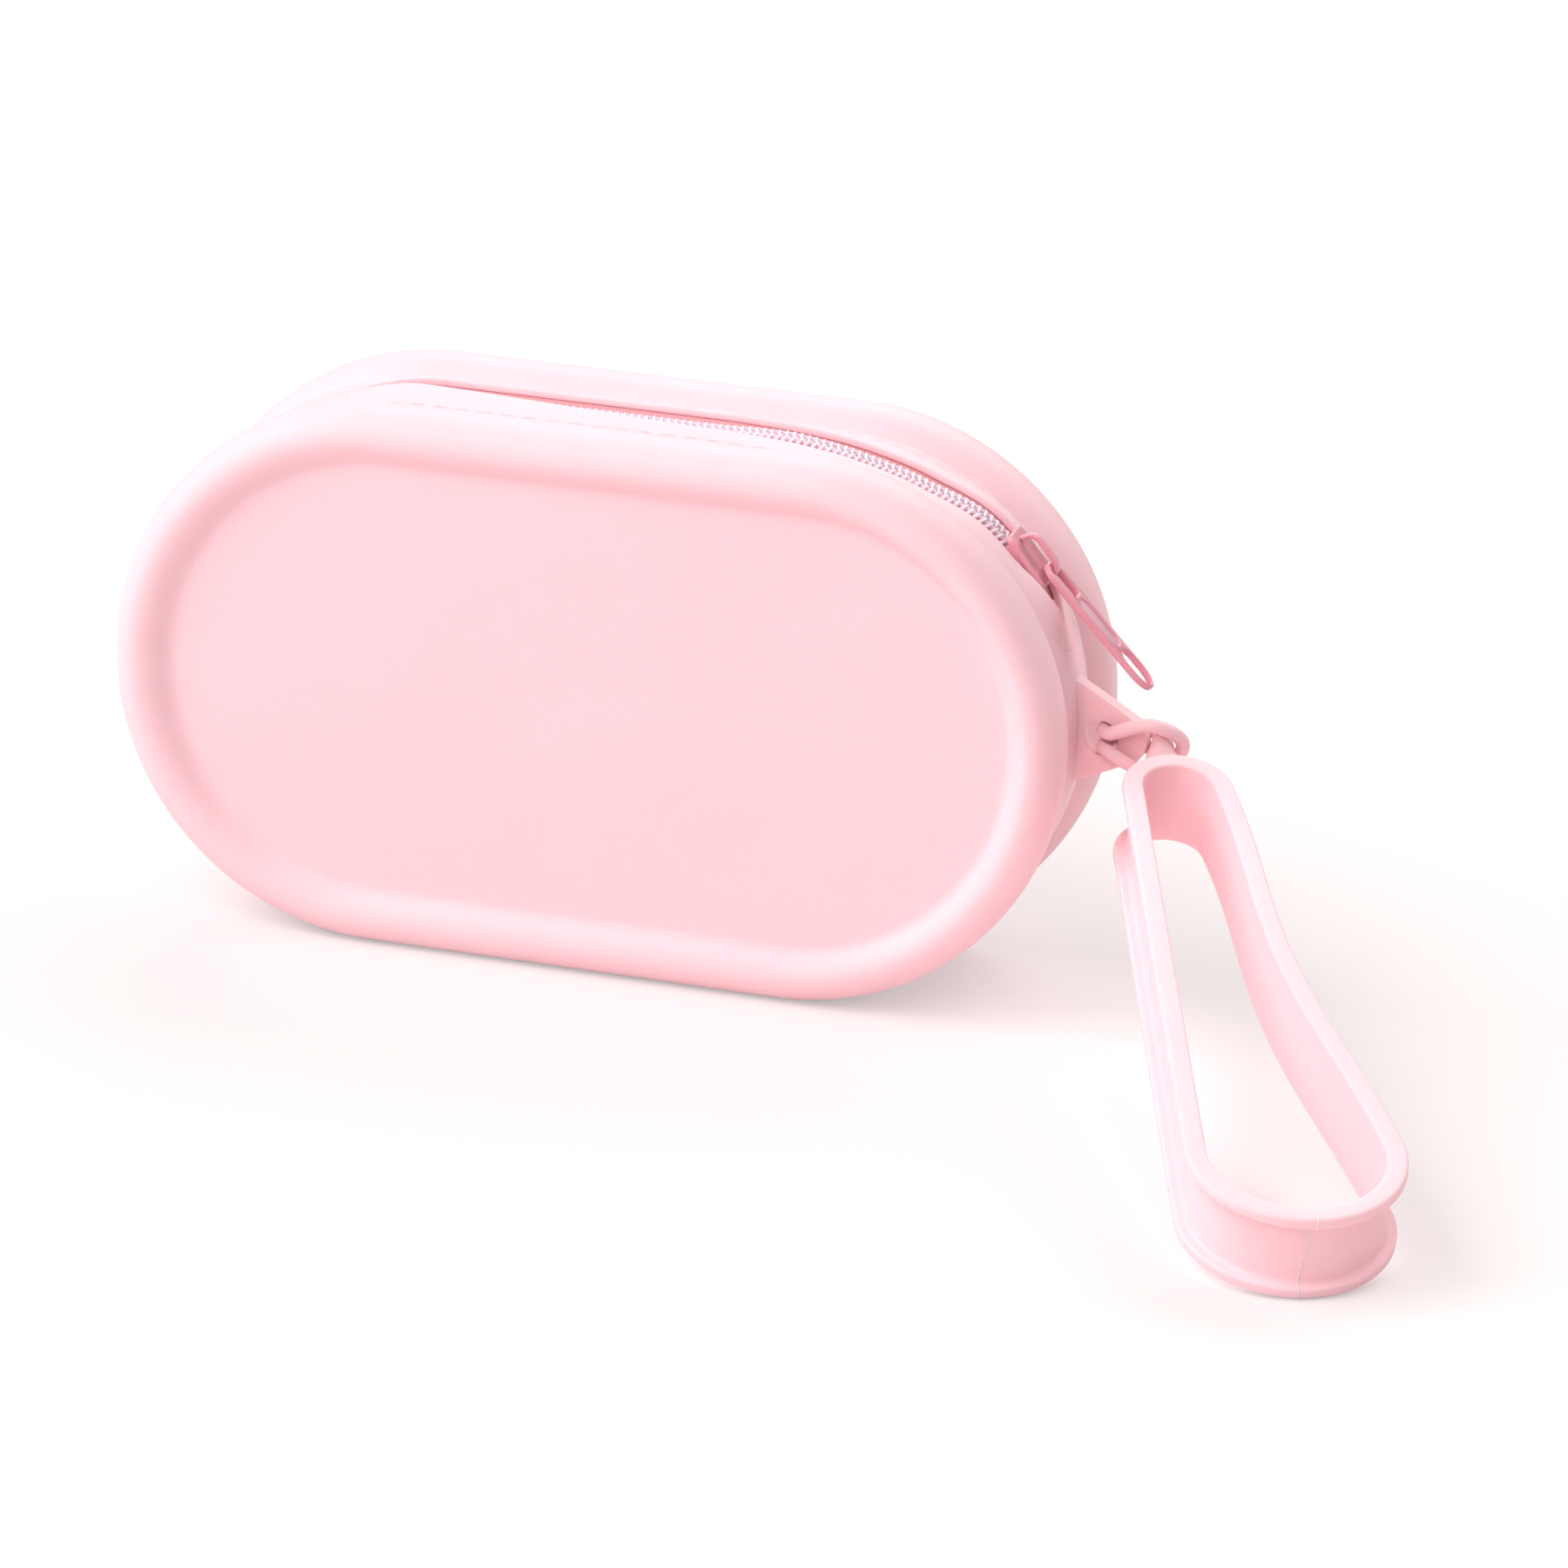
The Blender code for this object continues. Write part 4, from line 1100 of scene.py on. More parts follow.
@dataclass
class Zip:
    """Coil zip under the slot: two woven tapes, two nylon coils, three stops and the seam."""

    path: BagPath
    tape_finish: Woven
    coil_finish: Filament
    # The core's deeper mauve is partly painted shade: it shows in the gaps between the coil's turns.
    core_finish_with_painted_shade: Filament
    thread_finish: Filament
    stop_finish: Enamel
    tape_depth: float = 1.45 * MM
    tape_dip: float = 0.4 * MM
    tape_thickness: float = 0.5 * MM
    tape_inner: float = 0.6 * MM
    tape_outer: float = 9.8 * MM
    tape_angle: float = math.radians(74.0)
    tape_tuck: float = 1.4 * MM
    hang: float = 1.0 * MM
    closed_range: Pair = (-52 * MM, -34 * MM)
    hang_range: Pair = (14 * MM, 31 * MM)
    hollow_edge: float = 1.9 * MM
    tape_rows: int = 200
    tape_columns: int = 20
    coil_width: float = 2.55 * MM
    coil_gap: float = 0.1 * MM
    coil_height: float = 1.3 * MM
    coil_base: float = -1.95 * MM
    coil_angle: float = math.radians(55.5)
    coil_pitch: float = 1.3 * MM
    coil_squareness: float = 0.7
    turn_steps: int = 12
    filament: float = 0.62 * MM
    core: float = 1.1 * MM
    core_steps: int = 160
    spread: float = 0.45 * MM
    spread_angles: Pair = (math.radians(43.6), math.radians(51.2))
    stop_angles: Pair = (math.radians(60.7), math.radians(63.0))
    stop_offsets: Pair = (0.35 * MM, 2.5 * MM)
    stop_low: float = -2.7 * MM
    stop_top: float = -0.8 * MM
    stop_rounding: float = 0.3 * MM
    seam_offsets: Pair = (8.3 * MM, 9.6 * MM)
    seam_range: Pair = (52 * MM, 68 * MM)
    seam_end_offset: float = 5.0 * MM
    seam_end_angle: float = math.radians(70.0)
    seam_taper: float = math.radians(14.0)
    stitch_pitch: float = 4.0 * MM
    stitch_length: float = 3.05 * MM
    seam_corner: Pair = (1.2 * MM, 0.4 * MM)
    needle_height: float = -0.03 * MM
    thread: float = 0.34 * MM
    thread_segments: tuple[int, int] = (6, 5)

    @property
    def coil_end(self) -> float:
        """Distance of the coils' ends from the middle of the top."""
        return self.path.at_angle(self.coil_angle)

    def hollow(self, offset: float) -> float:
        """Share from 0 to 1 of the tapes' hollow, which ends beside the coils."""
        return 1 - smooth_share(abs(offset), self.coil_width, self.coil_width + self.hollow_edge)

    def tuck(self, distance: float, offset: float) -> float:
        """How far the tape hangs between its seams, most under the closed lips at the left."""
        closed = (self.tape_tuck - self.hang) * (1 - smooth_share(distance, *self.closed_range))
        return self.hollow(offset) * (closed + self.hang * (1 - smooth_share(distance, *self.hang_range)))

    def under(self, distance: float, offset: float, height: float) -> Vector:
        """Place at a height over the band, lowered where the tape hangs."""
        return self.path.over(distance, offset, height - self.tuck(distance, offset))

    def parting(self, distance: float) -> float:
        """How far each coil stands aside, round the slider's wedge and in front of it."""
        return self.spread * smooth_share(distance, *self.path.at_angles(self.spread_angles))

    def in_coil(self, side: Side, distance: float, across: float = 0.0, rise: float = 0.0) -> Vector:
        """Place at a distance in a coil, so far outside its middle line and so far over it."""
        offset = self.coil_gap / 2 + self.coil_width / 2 + across + self.parting(distance)
        return self.under(distance, side.value * offset, self.coil_base + self.coil_height / 2 + rise)

    def make_tape(self, side: Side) -> BMesh:
        """One woven tape with a map of distance and offset.

        Args:
            side: Which tape.

        Returns:
            The tape's geometry.
        """
        path = self.path
        end = path.at_angle(self.tape_angle)
        rows = spread_evenly(-end, end, self.tape_rows)
        columns = spread_evenly(self.tape_inner, self.tape_outer, self.tape_columns)

        def place(row: int, column: int) -> Vector:
            """Place of a corner of the tape."""
            offset = columns[column]
            top = -self.tape_depth - self.tape_dip * self.hollow(offset)
            return self.under(rows[row], side.value * offset, top)

        bm = map_grid(len(rows), len(columns), place)
        for face in bm.faces:
            outward = face.calc_center_median() - Vector((0, path.middle_y, path.centre_z))
            if face.normal.z * outward.z + face.normal.x * outward.x < 0:
                face.normal_flip()
        bmesh.ops.solidify(bm, geom=bm.faces[:], thickness=self.tape_thickness)
        layer = bm.loops.layers.uv.new("run")
        for face in bm.faces:
            for loop in face.loops:
                loop[layer].uv = self.locate(loop.vert.co)
        return bm

    def locate(self, point: Vector) -> Pair:
        """Find the distance and the offset of a point of the zip.

        Args:
            point: The point in the frame.

        Returns:
            Its distance and its offset.
        """
        path = self.path
        beyond = abs(point.x) - path.end_x
        distance = point.x
        if beyond > 0:
            angle = math.atan2(beyond, point.z - path.centre_z)
            distance = math.copysign(path.at_angle(angle), point.x)
        return distance, point.y - path.middle_y

    def make_coil(self, side: Side) -> BMesh:
        """One coil: a flattened helix of filament, whose heads reach to the other coil.

        Args:
            side: Which coil.

        Returns:
            The coil's geometry.
        """
        steps = round(2 * self.coil_end / self.coil_pitch) * self.turn_steps
        half_width = (self.coil_width - self.filament) / 2
        half_height = (self.coil_height - self.filament) / 2
        phase = math.pi if side is Side.BACK else 0.0
        points = []
        for step in range(steps + 1):
            turn = 2 * math.pi * step / self.turn_steps + phase
            across, rise = (math.copysign(abs(share) ** self.coil_squareness, share)
                            for share in (math.cos(turn), math.sin(turn)))
            distance = -self.coil_end + self.coil_pitch * step / self.turn_steps
            points.append(self.in_coil(side, distance, half_width * across, half_height * rise))
        return tube(points, self.filament)

    def make_core(self, side: Side) -> BMesh:
        """Filler cord that runs through one coil, whose deeper mauve is partly painted shade between the
        coil's turns.
        """
        run = spread_evenly(-self.coil_end, self.coil_end, self.core_steps)
        return tube([self.in_coil(side, distance) for distance in run], self.core)

    def make_stop(self, side: Side) -> BMesh:
        """One crimped stop on a tape's inner edge in front of the slider.

        Args:
            side: Which tape it grips.

        Returns:
            The stop's geometry.
        """
        start, stop = self.path.at_angles(self.stop_angles)
        inner, outer = self.stop_offsets
        bm = bmesh.new()
        bmesh.ops.create_cube(bm, size=1.0)
        for vert in bm.verts:
            along, across, up = vert.co + Vector((0.5, 0.5, 0.5))
            offset = side.value * (inner + (outer - inner) * across)
            height = self.stop_low + (self.stop_top - self.stop_low) * up
            vert.co = self.path.over(start + (stop - start) * along, offset, height)
        bmesh.ops.recalc_face_normals(bm, faces=bm.faces)
        round_edges(bm, bm.edges[:], self.stop_rounding)
        return bm

    def seam_offset(self, distance: float) -> float:
        """Offset of the seam from the middle plane, wider at both ends and tapered at its tips.

        Args:
            distance: Distance along the bag.

        Returns:
            The offset, without its sign.
        """
        path = self.path
        near, wide = self.seam_offsets
        offset = near + (wide - near) * smooth_share(abs(distance), *self.seam_range)
        low = path.at_angle(self.seam_end_angle - self.seam_taper)
        share = (abs(distance) - low) / (path.at_angle(self.seam_end_angle) - low)
        return offset + (self.seam_end_offset - offset) * min(max(share, 0.0), 1.0)

    def make_stitches(self, height: float) -> BMesh:
        """Separate stitches of the closed seam round the slot.

        Args:
            height: Height of the thread's middle over the band.

        Returns:
            The stitches' geometry.
        """
        end = self.path.at_angle(self.seam_end_angle)
        count = round(2 * end / self.stitch_pitch)
        beyond, aside = self.seam_corner
        places = []
        for sign in (-1, 1):
            for index in range(count):
                middle = -end + 2 * end * (index + 0.5) / count
                ends = (middle - self.stitch_length / 2, middle + self.stitch_length / 2)
                places.append([(distance, sign * self.seam_offset(distance)) for distance in ends])
            places.append([(sign * end, -self.seam_end_offset), (sign * (end + beyond), -aside)])
            places.append([(sign * (end + beyond), aside), (sign * end, self.seam_end_offset)])
        bm = bmesh.new()
        for stitch in places:
            first, last = (self.path.over(*place, height) for place in stitch)
            along = last - first
            turn = along.to_track_quat("X", "Z").to_matrix().to_4x4()
            size = Matrix.Diagonal((along.length / 2, self.thread / 2, self.thread / 2, 1.0))
            place = (Matrix.Translation((first + last) / 2) @ turn @ size
                     @ Matrix.Rotation(QUARTER, 4, "Y"))
            round_segments, long_segments = self.thread_segments
            bmesh.ops.create_uvsphere(bm, u_segments=round_segments, v_segments=long_segments,
                                      radius=1.0, matrix=place)
        return bm

    def build(self, shop: Workshop) -> None:
        """Make the tapes, coils, top stops and stitches, and dress the bottom stop.

        Args:
            shop: Workshop that turns geometry into pieces.
        """
        for side in Side:
            name = side.name.lower()
            shop.add(self.make_tape(side), f"woven_tape_{name}", self.tape_finish, Body.BAG,
                     "tape_polyester", [f"zip_tape_{name}"])
            shop.add(self.make_coil(side), f"nylon_coil_{name}", self.coil_finish, Body.BAG,
                     "coil_nylon", [f"zip_coil_{name}"])
            shop.add(self.make_core(side), f"coil_core_{name}", self.core_finish_with_painted_shade, Body.BAG, "coil_nylon")
            shop.add(self.make_stop(side), f"crimped_stop_{name}", self.stop_finish, Body.BAG,
                     "stop_metal", [f"top_stop_{name}"])
        inside = -(self.tape_depth + self.tape_thickness + self.thread / 2)
        for name, height in (("needle", self.needle_height), ("bobbin", inside)):
            shop.add(self.make_stitches(height), f"{name}_stitches", self.thread_finish, Body.BAG,
                     "seam_thread", [f"seam_{name}_thread"])
        shop.dress("bottom_stop", self.stop_finish)


@dataclass
class Slider:
    """Cast slider with its bridge, set on the right end of the bag."""

    path: BagPath
    finish: Enamel
    bridge_finish: Enamel
    angle: float = math.radians(50.2)
    length: float = 10.5 * MM
    rear_width: float = 7.6 * MM
    front_width: float = 8.4 * MM
    corner: float = 1.2 * MM
    plate: float = 1.1 * MM
    plate_base: float = 45.65 * MM
    tape_top: float = 43.75 * MM
    tape_thickness: float = 0.5 * MM
    seat_gap: float = 0.45 * MM
    gap: float = 0.3 * MM
    flange: float = 0.7 * MM
    wedge_width: float = 1.1 * MM
    wedge_length: float = 3.2 * MM
    bridge_width: float = 1.5 * MM
    bridge_thickness: float = 0.8 * MM
    bridge_swell: float = 0.15 * MM
    bridge_height: float = 2.8 * MM
    bridge_rear_inset: float = 1.4 * MM
    bridge_front_inset: float = 0.2 * MM
    bridge_corner_share: float = 0.85
    bridge_rounding_share: float = 0.45
    bridge_steps: int = 8
    rounding: float = 0.28 * MM
    flange_rounding_share: float = 0.9

    @property
    def place(self) -> Matrix:
        """Matrix from the slider's own axes (along, across, out) to the frame."""
        return Matrix.Translation(self.path.centre) @ Matrix.Rotation(self.angle, 4, "Y")

    @property
    def plate_top(self) -> float:
        """Radius of the top plate's upper face."""
        return self.plate_base + self.plate

    def make_block(self, low: Triple, high: Triple, rounding: float) -> BMesh:
        """Block with rounded edges.

        Args:
            low: Its lowest corner.
            high: Its highest corner.
            rounding: Width of the rounding.

        Returns:
            The block's geometry.
        """
        bm = bmesh.new()
        bmesh.ops.create_cube(bm, size=1.0)
        bmesh.ops.scale(bm, vec=Vector(high) - Vector(low), verts=bm.verts)
        bmesh.ops.translate(bm, vec=(Vector(high) + Vector(low)) / 2, verts=bm.verts)
        round_edges(bm, bm.edges[:], rounding)
        return bm

    def make_body(self) -> BMesh:
        """Top plate with side flanges, wedge and lower plate.

        Returns:
            The slider's geometry.
        """
        half = self.length / 2
        outline = round_cornered(-half, half, self.rear_width / 2, self.front_width / 2, self.corner)
        low_radius = self.tape_top - self.tape_thickness
        lower_top = low_radius * math.cos(half / low_radius) - self.seat_gap
        middle = self.plate_base + self.plate / 2
        lower_middle = lower_top - self.plate / 2
        bm = bmesh.new()
        for height in (middle, lower_middle):
            join(bm, flat_plate([outline], self.plate, self.rounding, height))
        join(bm, self.make_block((half - self.wedge_length, -self.wedge_width / 2, lower_middle),
                                 (half - self.corner / 2, self.wedge_width / 2, middle), self.rounding))
        reach = self.rear_width / 2
        for low, high in ((-reach, self.flange - reach), (reach - self.flange, reach)):
            join(bm, self.make_block((self.corner - half, low, self.tape_top + self.gap),
                                     (half - self.corner, high, middle),
                                     self.rounding * self.flange_rounding_share))
        bmesh.ops.transform(bm, matrix=self.place, verts=bm.verts)
        return bm

    def make_bridge(self) -> BMesh:
        """Bent strap over the plate, with rounded corners and edges.

        Returns:
            The bridge's geometry.
        """
        foot = self.plate_top
        crown = foot + self.gap + self.bridge_height
        rear = -self.length / 2 + self.bridge_rear_inset
        front = self.length / 2 - self.bridge_front_inset
        corner = self.bridge_height * self.bridge_corner_share
        thickness = self.bridge_thickness + self.bridge_swell
        ahead, behind = (front - corner, crown - corner), (rear + corner, crown - corner)

        def over(radius: float) -> list[Pair]:
            """Line over both corners, from the front to the rear."""
            return (arc_points(ahead, radius, 0.0, QUARTER, self.bridge_steps)
                    + arc_points(behind, radius, QUARTER, 2 * QUARTER, self.bridge_steps))

        outline = [(front, foot), *over(corner), (rear, foot), (rear + thickness, foot),
                   *reversed(over(corner - thickness)), (front - thickness, foot)]
        bm = flat_plate([outline], self.bridge_width, thickness * self.bridge_rounding_share)
        bmesh.ops.transform(bm, matrix=self.place @ Matrix.Rotation(QUARTER, 4, "X"), verts=bm.verts)
        return bm

    def build(self, shop: Workshop) -> None:
        """Make the slider and its bridge.

        Args:
            shop: Workshop that turns geometry into pieces.
        """
        shop.add(self.make_body(), "cast_slider", self.finish, Body.SLIDER, "slider_enamel",
                 ["slider_body"])
        shop.add(self.make_bridge(), "pull_bridge", self.bridge_finish, Body.SLIDER, "bridge_enamel",
                 ["slider_bridge"])


@dataclass
class Pull:
    """Flat pull with a window, a sunk face and a long hole, hung in the bridge."""

    slider: Slider
    finish: Enamel
    face_finish: Enamel
    length: float = 27.3 * MM
    width: float = 5.6 * MM
    thickness: float = 1.2 * MM
    bar: float = 1.3 * MM
    window_length: float = 6.0 * MM
    window_corner: float = 0.9 * MM
    rim: float = 1.2 * MM
    hole_length: float = 7.5 * MM
    hole_rim: float = 0.72 * MM
    hole_stretches: Pair = (1.1, 1.5)
    hole_steps: int = 14
    end_steps: int = 16
    face_margin: float = 0.96 * MM
    recess: float = 0.3 * MM
    face_rounding: float = 0.05 * MM
    slope: float = math.radians(45.3)
    rounding: float = 0.32 * MM

    @property
    def place(self) -> Matrix:
        """Matrix from the pull's own axes to the frame, at its bar.

        Returns:
            The matrix.
        """
        slider = self.slider
        clearance = math.hypot(self.bar / 2, self.thickness / 2) + slider.gap
        out = slider.length / 2 - slider.bridge_front_inset - slider.bridge_thickness - clearance
        up = slider.plate_top + (slider.gap + slider.bridge_height - slider.bridge_thickness) / 2
        hinge = slider.place @ Vector((out, 0.0, up))
        return Matrix.Translation(hinge) @ Matrix.Rotation(self.slope, 4, "Y")

    def make_tab(self) -> tuple[BMesh, BMesh]:
        """Rimmed tab with three openings, and the thinner plate that fills the middle one.

        Returns:
            The tab's geometry, then the plate's.
        """
        top = -self.bar / 2
        end = self.length + top
        inner = self.width / 2 - self.rim
        window = (self.bar / 2, self.bar / 2 + self.window_length)
        hole = (end - self.hole_rim - self.hole_length, end - self.hole_rim)
        face = (window[1] + self.face_margin, hole[0] - self.face_margin)
        outline = round_ended(top, end, self.width / 2, self.end_steps, (1.0, self.hole_stretches[1]))
        opening = round_cornered(*window, inner, inner, self.window_corner)
        eye = round_ended(*hole, self.width / 2 - self.hole_rim, self.hole_steps, self.hole_stretches)
        bm = flat_plate([outline, opening, round_ended(*face, inner), eye], self.thickness, self.rounding)
        lap = self.rounding
        floor = flat_plate([round_ended(face[0] - lap, face[1] + lap, inner + lap)],
                           self.thickness - 2 * self.recess, self.face_rounding)
        for part in (bm, floor):
            bmesh.ops.transform(part, matrix=self.place, verts=part.verts)
        return bm, floor

    def build(self, shop: Workshop) -> None:
        """Make the pull and its sunk face.

        Args:
            shop: Workshop that turns geometry into pieces.
        """
        tab, face = self.make_tab()
        shop.add(tab, "enamel_pull", self.finish, Body.PULL, "pull_enamel", ["pull_tab"])
        shop.add(face, "pull_face", self.face_finish, Body.PULL, "pull_enamel")


def rounded_corners(corners: Sequence[Triple]) -> list[Vector]:
    """Closed flat outline with each corner rounded by its own radius.

    Args:
        corners: Corners as (first place, second place, radius).

    Returns:
        The outline's points.
    """
    points = []
    for index, (first, second, radius) in enumerate(corners):
        here = Vector((first, second))
        before = (Vector(corners[index - 1][:2]) - here).normalized()
        after = (Vector(corners[(index + 1) % len(corners)][:2]) - here).normalized()
        half = before.angle(after) / 2
        reach = radius / math.tan(half)
        centre = here + (before + after).normalized() * radius / math.sin(half)
        start = here + before * reach - centre
        turn = start.angle_signed(here + after * reach - centre)
        for share in spread_evenly(0.0, 1.0, CORNER_STEPS):
            points.append(centre + Matrix.Rotation(-turn * share, 2) @ start)
    return points


def spun(profile: Sequence[Pair]) -> BMesh:
    """Profile (radius, height) spun round Z, with its wide foot closed.

    Args:
        profile: Points from the foot to the tip, which lies on the axis.

    Returns:
        The spun geometry.
    """
    bm = bmesh.new()
    line = draw_line(bm, [(radius, 0.0, height) for radius, height in profile], closed=False)
    bmesh.ops.spin(bm, geom=line, cent=(0, 0, 0), axis=(0, 0, 1), angle=2 * math.pi,
                   steps=SPIN_STEPS, use_merge=True)
    bmesh.ops.remove_doubles(bm, verts=bm.verts, dist=MERGE)
    foot = [edge for edge in bm.edges if edge.is_boundary]
    bmesh.ops.edgeloop_fill(bm, edges=foot)
    return bm


@dataclass
class WristStrap:
    """Closed loop of channel section with a flared stem at its top."""

    lug_hole: Vector
    tip_reach: Vector
    finish: Silicone
    # Paler finish of the parting ridge: a painted highlight along the ridge.
    ridge_highlight_finish: Silicone
    length: float = 124.3 * MM
    top_radius: float = 9.3 * MM
    bottom_radius: float = 17.5 * MM
    bow: float = 3.2 * MM
    height: float = 15.5 * MM
    web: float = 1.5 * MM
    rim: float = 3.4 * MM
    lip: float = 2.0 * MM
    hang: Vector = Vector((12.25, -6.0, -6.3)) * MM
    axis: Vector = Vector((0.4105, -0.8707, -0.2707)).normalized()
    across: Vector = Vector((0.9045, 0.4264, 0.0)).normalized()
    stem_length: float = 6.5 * MM
    stem_root_radius: float = 3.2 * MM
    stem_tip_radius: float = 2.3 * MM
    stem_flare: float = 1.5 * MM
    knob_height: float = 0.55
    knob_lift: float = 0.4 * MM
    stem_sink: float = 0.3
    edge_radii: tuple[float, ...] = (0.65 * MM, 0.45 * MM, 0.8 * MM, 0.5 * MM)
    parting_ridge: float = 0.22 * MM
    parting_skew: float = -1.6 * MM
    parting_depth: float = 2.8 * MM
    step: float = 1.0 * MM
    bend_steps: tuple[int, int] = (28, 56)

    @property
    def place(self) -> Matrix:
        """Matrix from the loop's axes (along, across, normal) to the frame."""
        turn = Matrix((self.axis, self.across, self.normal)).transposed().to_4x4()
        return Matrix.Translation(self.lug_hole + self.hang) @ turn

    @property
    def normal(self) -> Vector:
        """Direction square to the loop's flat shape."""
        return self.axis.cross(self.across).normalized()

    @property
    def stem_root(self) -> Vector:
        """Middle of the stem's foot on the web."""
        return self.lug_hole + self.hang + self.axis * (self.rim - self.web)

    @property
    def stem_way(self) -> Vector:
        """Direction of the stem, past the lug's tip."""
        return (self.lug_hole + self.tip_reach - self.stem_root).normalized()

    def outline(self) -> list[Vector]:
        """Outer edge of the loop (along, across), with its right side bowed in.

        Returns:
            The points, about a step apart.
        """
        top, low = self.top_radius, self.length - self.bottom_radius
        side_steps = math.ceil((low - top) / self.step)
        points = arc_points((top, 0.0), top, -QUARTER, -3 * QUARTER, self.bend_steps[0])
        for share in spread_evenly(0.0, 1.0, side_steps)[1:-1]:
            width = top + (self.bottom_radius - top) * share - self.bow * math.sin(math.pi * share) ** 2
            points.append((top + (low - top) * share, width))
        points += arc_points((low, 0.0), self.bottom_radius, QUARTER, -QUARTER, self.bend_steps[1])
        for share in spread_evenly(1.0, 0.0, side_steps)[1:-1]:
            points.append((top + (low - top) * share, -(top + (self.bottom_radius - top) * share)))
        return [Vector(point) for point in points]

    def section(self) -> list[Vector]:
        """Section of the loop (inward from its edge, height): the web inside and two lips outside.

        Returns:
            The section's points.
        """
        half = self.height / 2
        places = ((0.0, half), (0.0, half - self.lip), (self.rim - self.web, half - self.lip),
                  (self.rim, half))
        outer, lip, web, inner = ((*place, radius) for place, radius in zip(places, self.edge_radii))
        lower = [(depth, -height, radius) for depth, height, radius in (outer, lip, web)]
        return rounded_corners([*lower, web, lip, outer, inner, (inner[0], -inner[1], inner[2])])

    def make_loop(self) -> BMesh:
        """Ring of the section run round the outline.

        Returns:
            The ring's geometry.
        """
        loop = self.outline()
        section = self.section()
        count = len(loop)
        inward = []
        for index in range(count):
            run = loop[(index + 1) % count] - loop[index - 1]
            inward.append(Vector((-run.y, run.x)).normalized())
        centre = Vector((self.length / 2, 0.0))
        if (centre - loop[0]).dot(inward[0]) < 0:
            inward = [-way for way in inward]

        def place(row: int, column: int) -> Vector:
            """Place of a corner of the ring."""
            depth, height = section[column % len(section)]
            point = loop[row % count] + inward[row % count] * depth
            return self.place @ Vector((point.x, point.y, height))

        return map_grid(count + 1, len(section) + 1, place)

    def make_stem(self) -> BMesh:
        """Stem that flares into the curved web and ends in a round knob.

        Returns:
            The stem's geometry.
        """
        flare = self.stem_flare
        profile = [(self.stem_root_radius + flare * (1 - math.sin(turn)), flare * (1 - math.cos(turn)))
                   for turn in spread_evenly(0.0, QUARTER, TURN_STEPS)]
        knob = self.stem_tip_radius * self.knob_height
        profile += [(self.stem_tip_radius * math.cos(turn),
                     self.stem_length - knob * (1 - math.sin(turn)) + self.knob_lift)
                    for turn in spread_evenly(0.0, QUARTER, TURN_STEPS)]
        bm = spun(profile)
        turn = Matrix((self.normal, self.across, self.stem_way)).transposed()
        bend = self.top_radius - self.rim + self.web
        for vert in bm.verts:
            near = max(1 - vert.co.z / self.stem_length, 0.0)
            sink = self.web * self.stem_sink + vert.co.y ** 2 / (2 * bend)
            vert.co = self.stem_root + turn @ vert.co + self.axis * sink * near
        return bm

    def make_parting(self) -> BMesh:
        """Fine ridge that the mould leaves across the outside of the lower bend.

        Returns:
            The ridge's geometry.
        """
        outside = [point for point in self.section() if point.x < self.parting_depth]
        half = self.height / 2
        points = []
        for depth, height in outside:
            shift = self.parting_skew * (half - height) / self.height
            edge = self.length - self.bottom_radius + math.sqrt(self.bottom_radius ** 2 - shift ** 2)
            points.append(self.place @ Vector((edge - depth, shift, height)))
        return tube(points, self.parting_ridge)

    def build(self, shop: Workshop) -> None:
        """Make the loop with its stem and parting ridge.

        Args:
            shop: Workshop that turns geometry into pieces.
        """
        shop.add(self.make_loop(), "strap_loop", self.finish, Body.STRAP, "strap_silicone", ["wrist_strap"])
        shop.add(self.make_stem(), "strap_stem", self.finish, Body.STRAP, "strap_silicone")
        # The ridge's paler colour is a painted highlight: the light line that the ridge would catch.
        shop.add(self.make_parting(), "parting_ridge", self.ridge_highlight_finish, Body.STRAP, "strap_silicone")


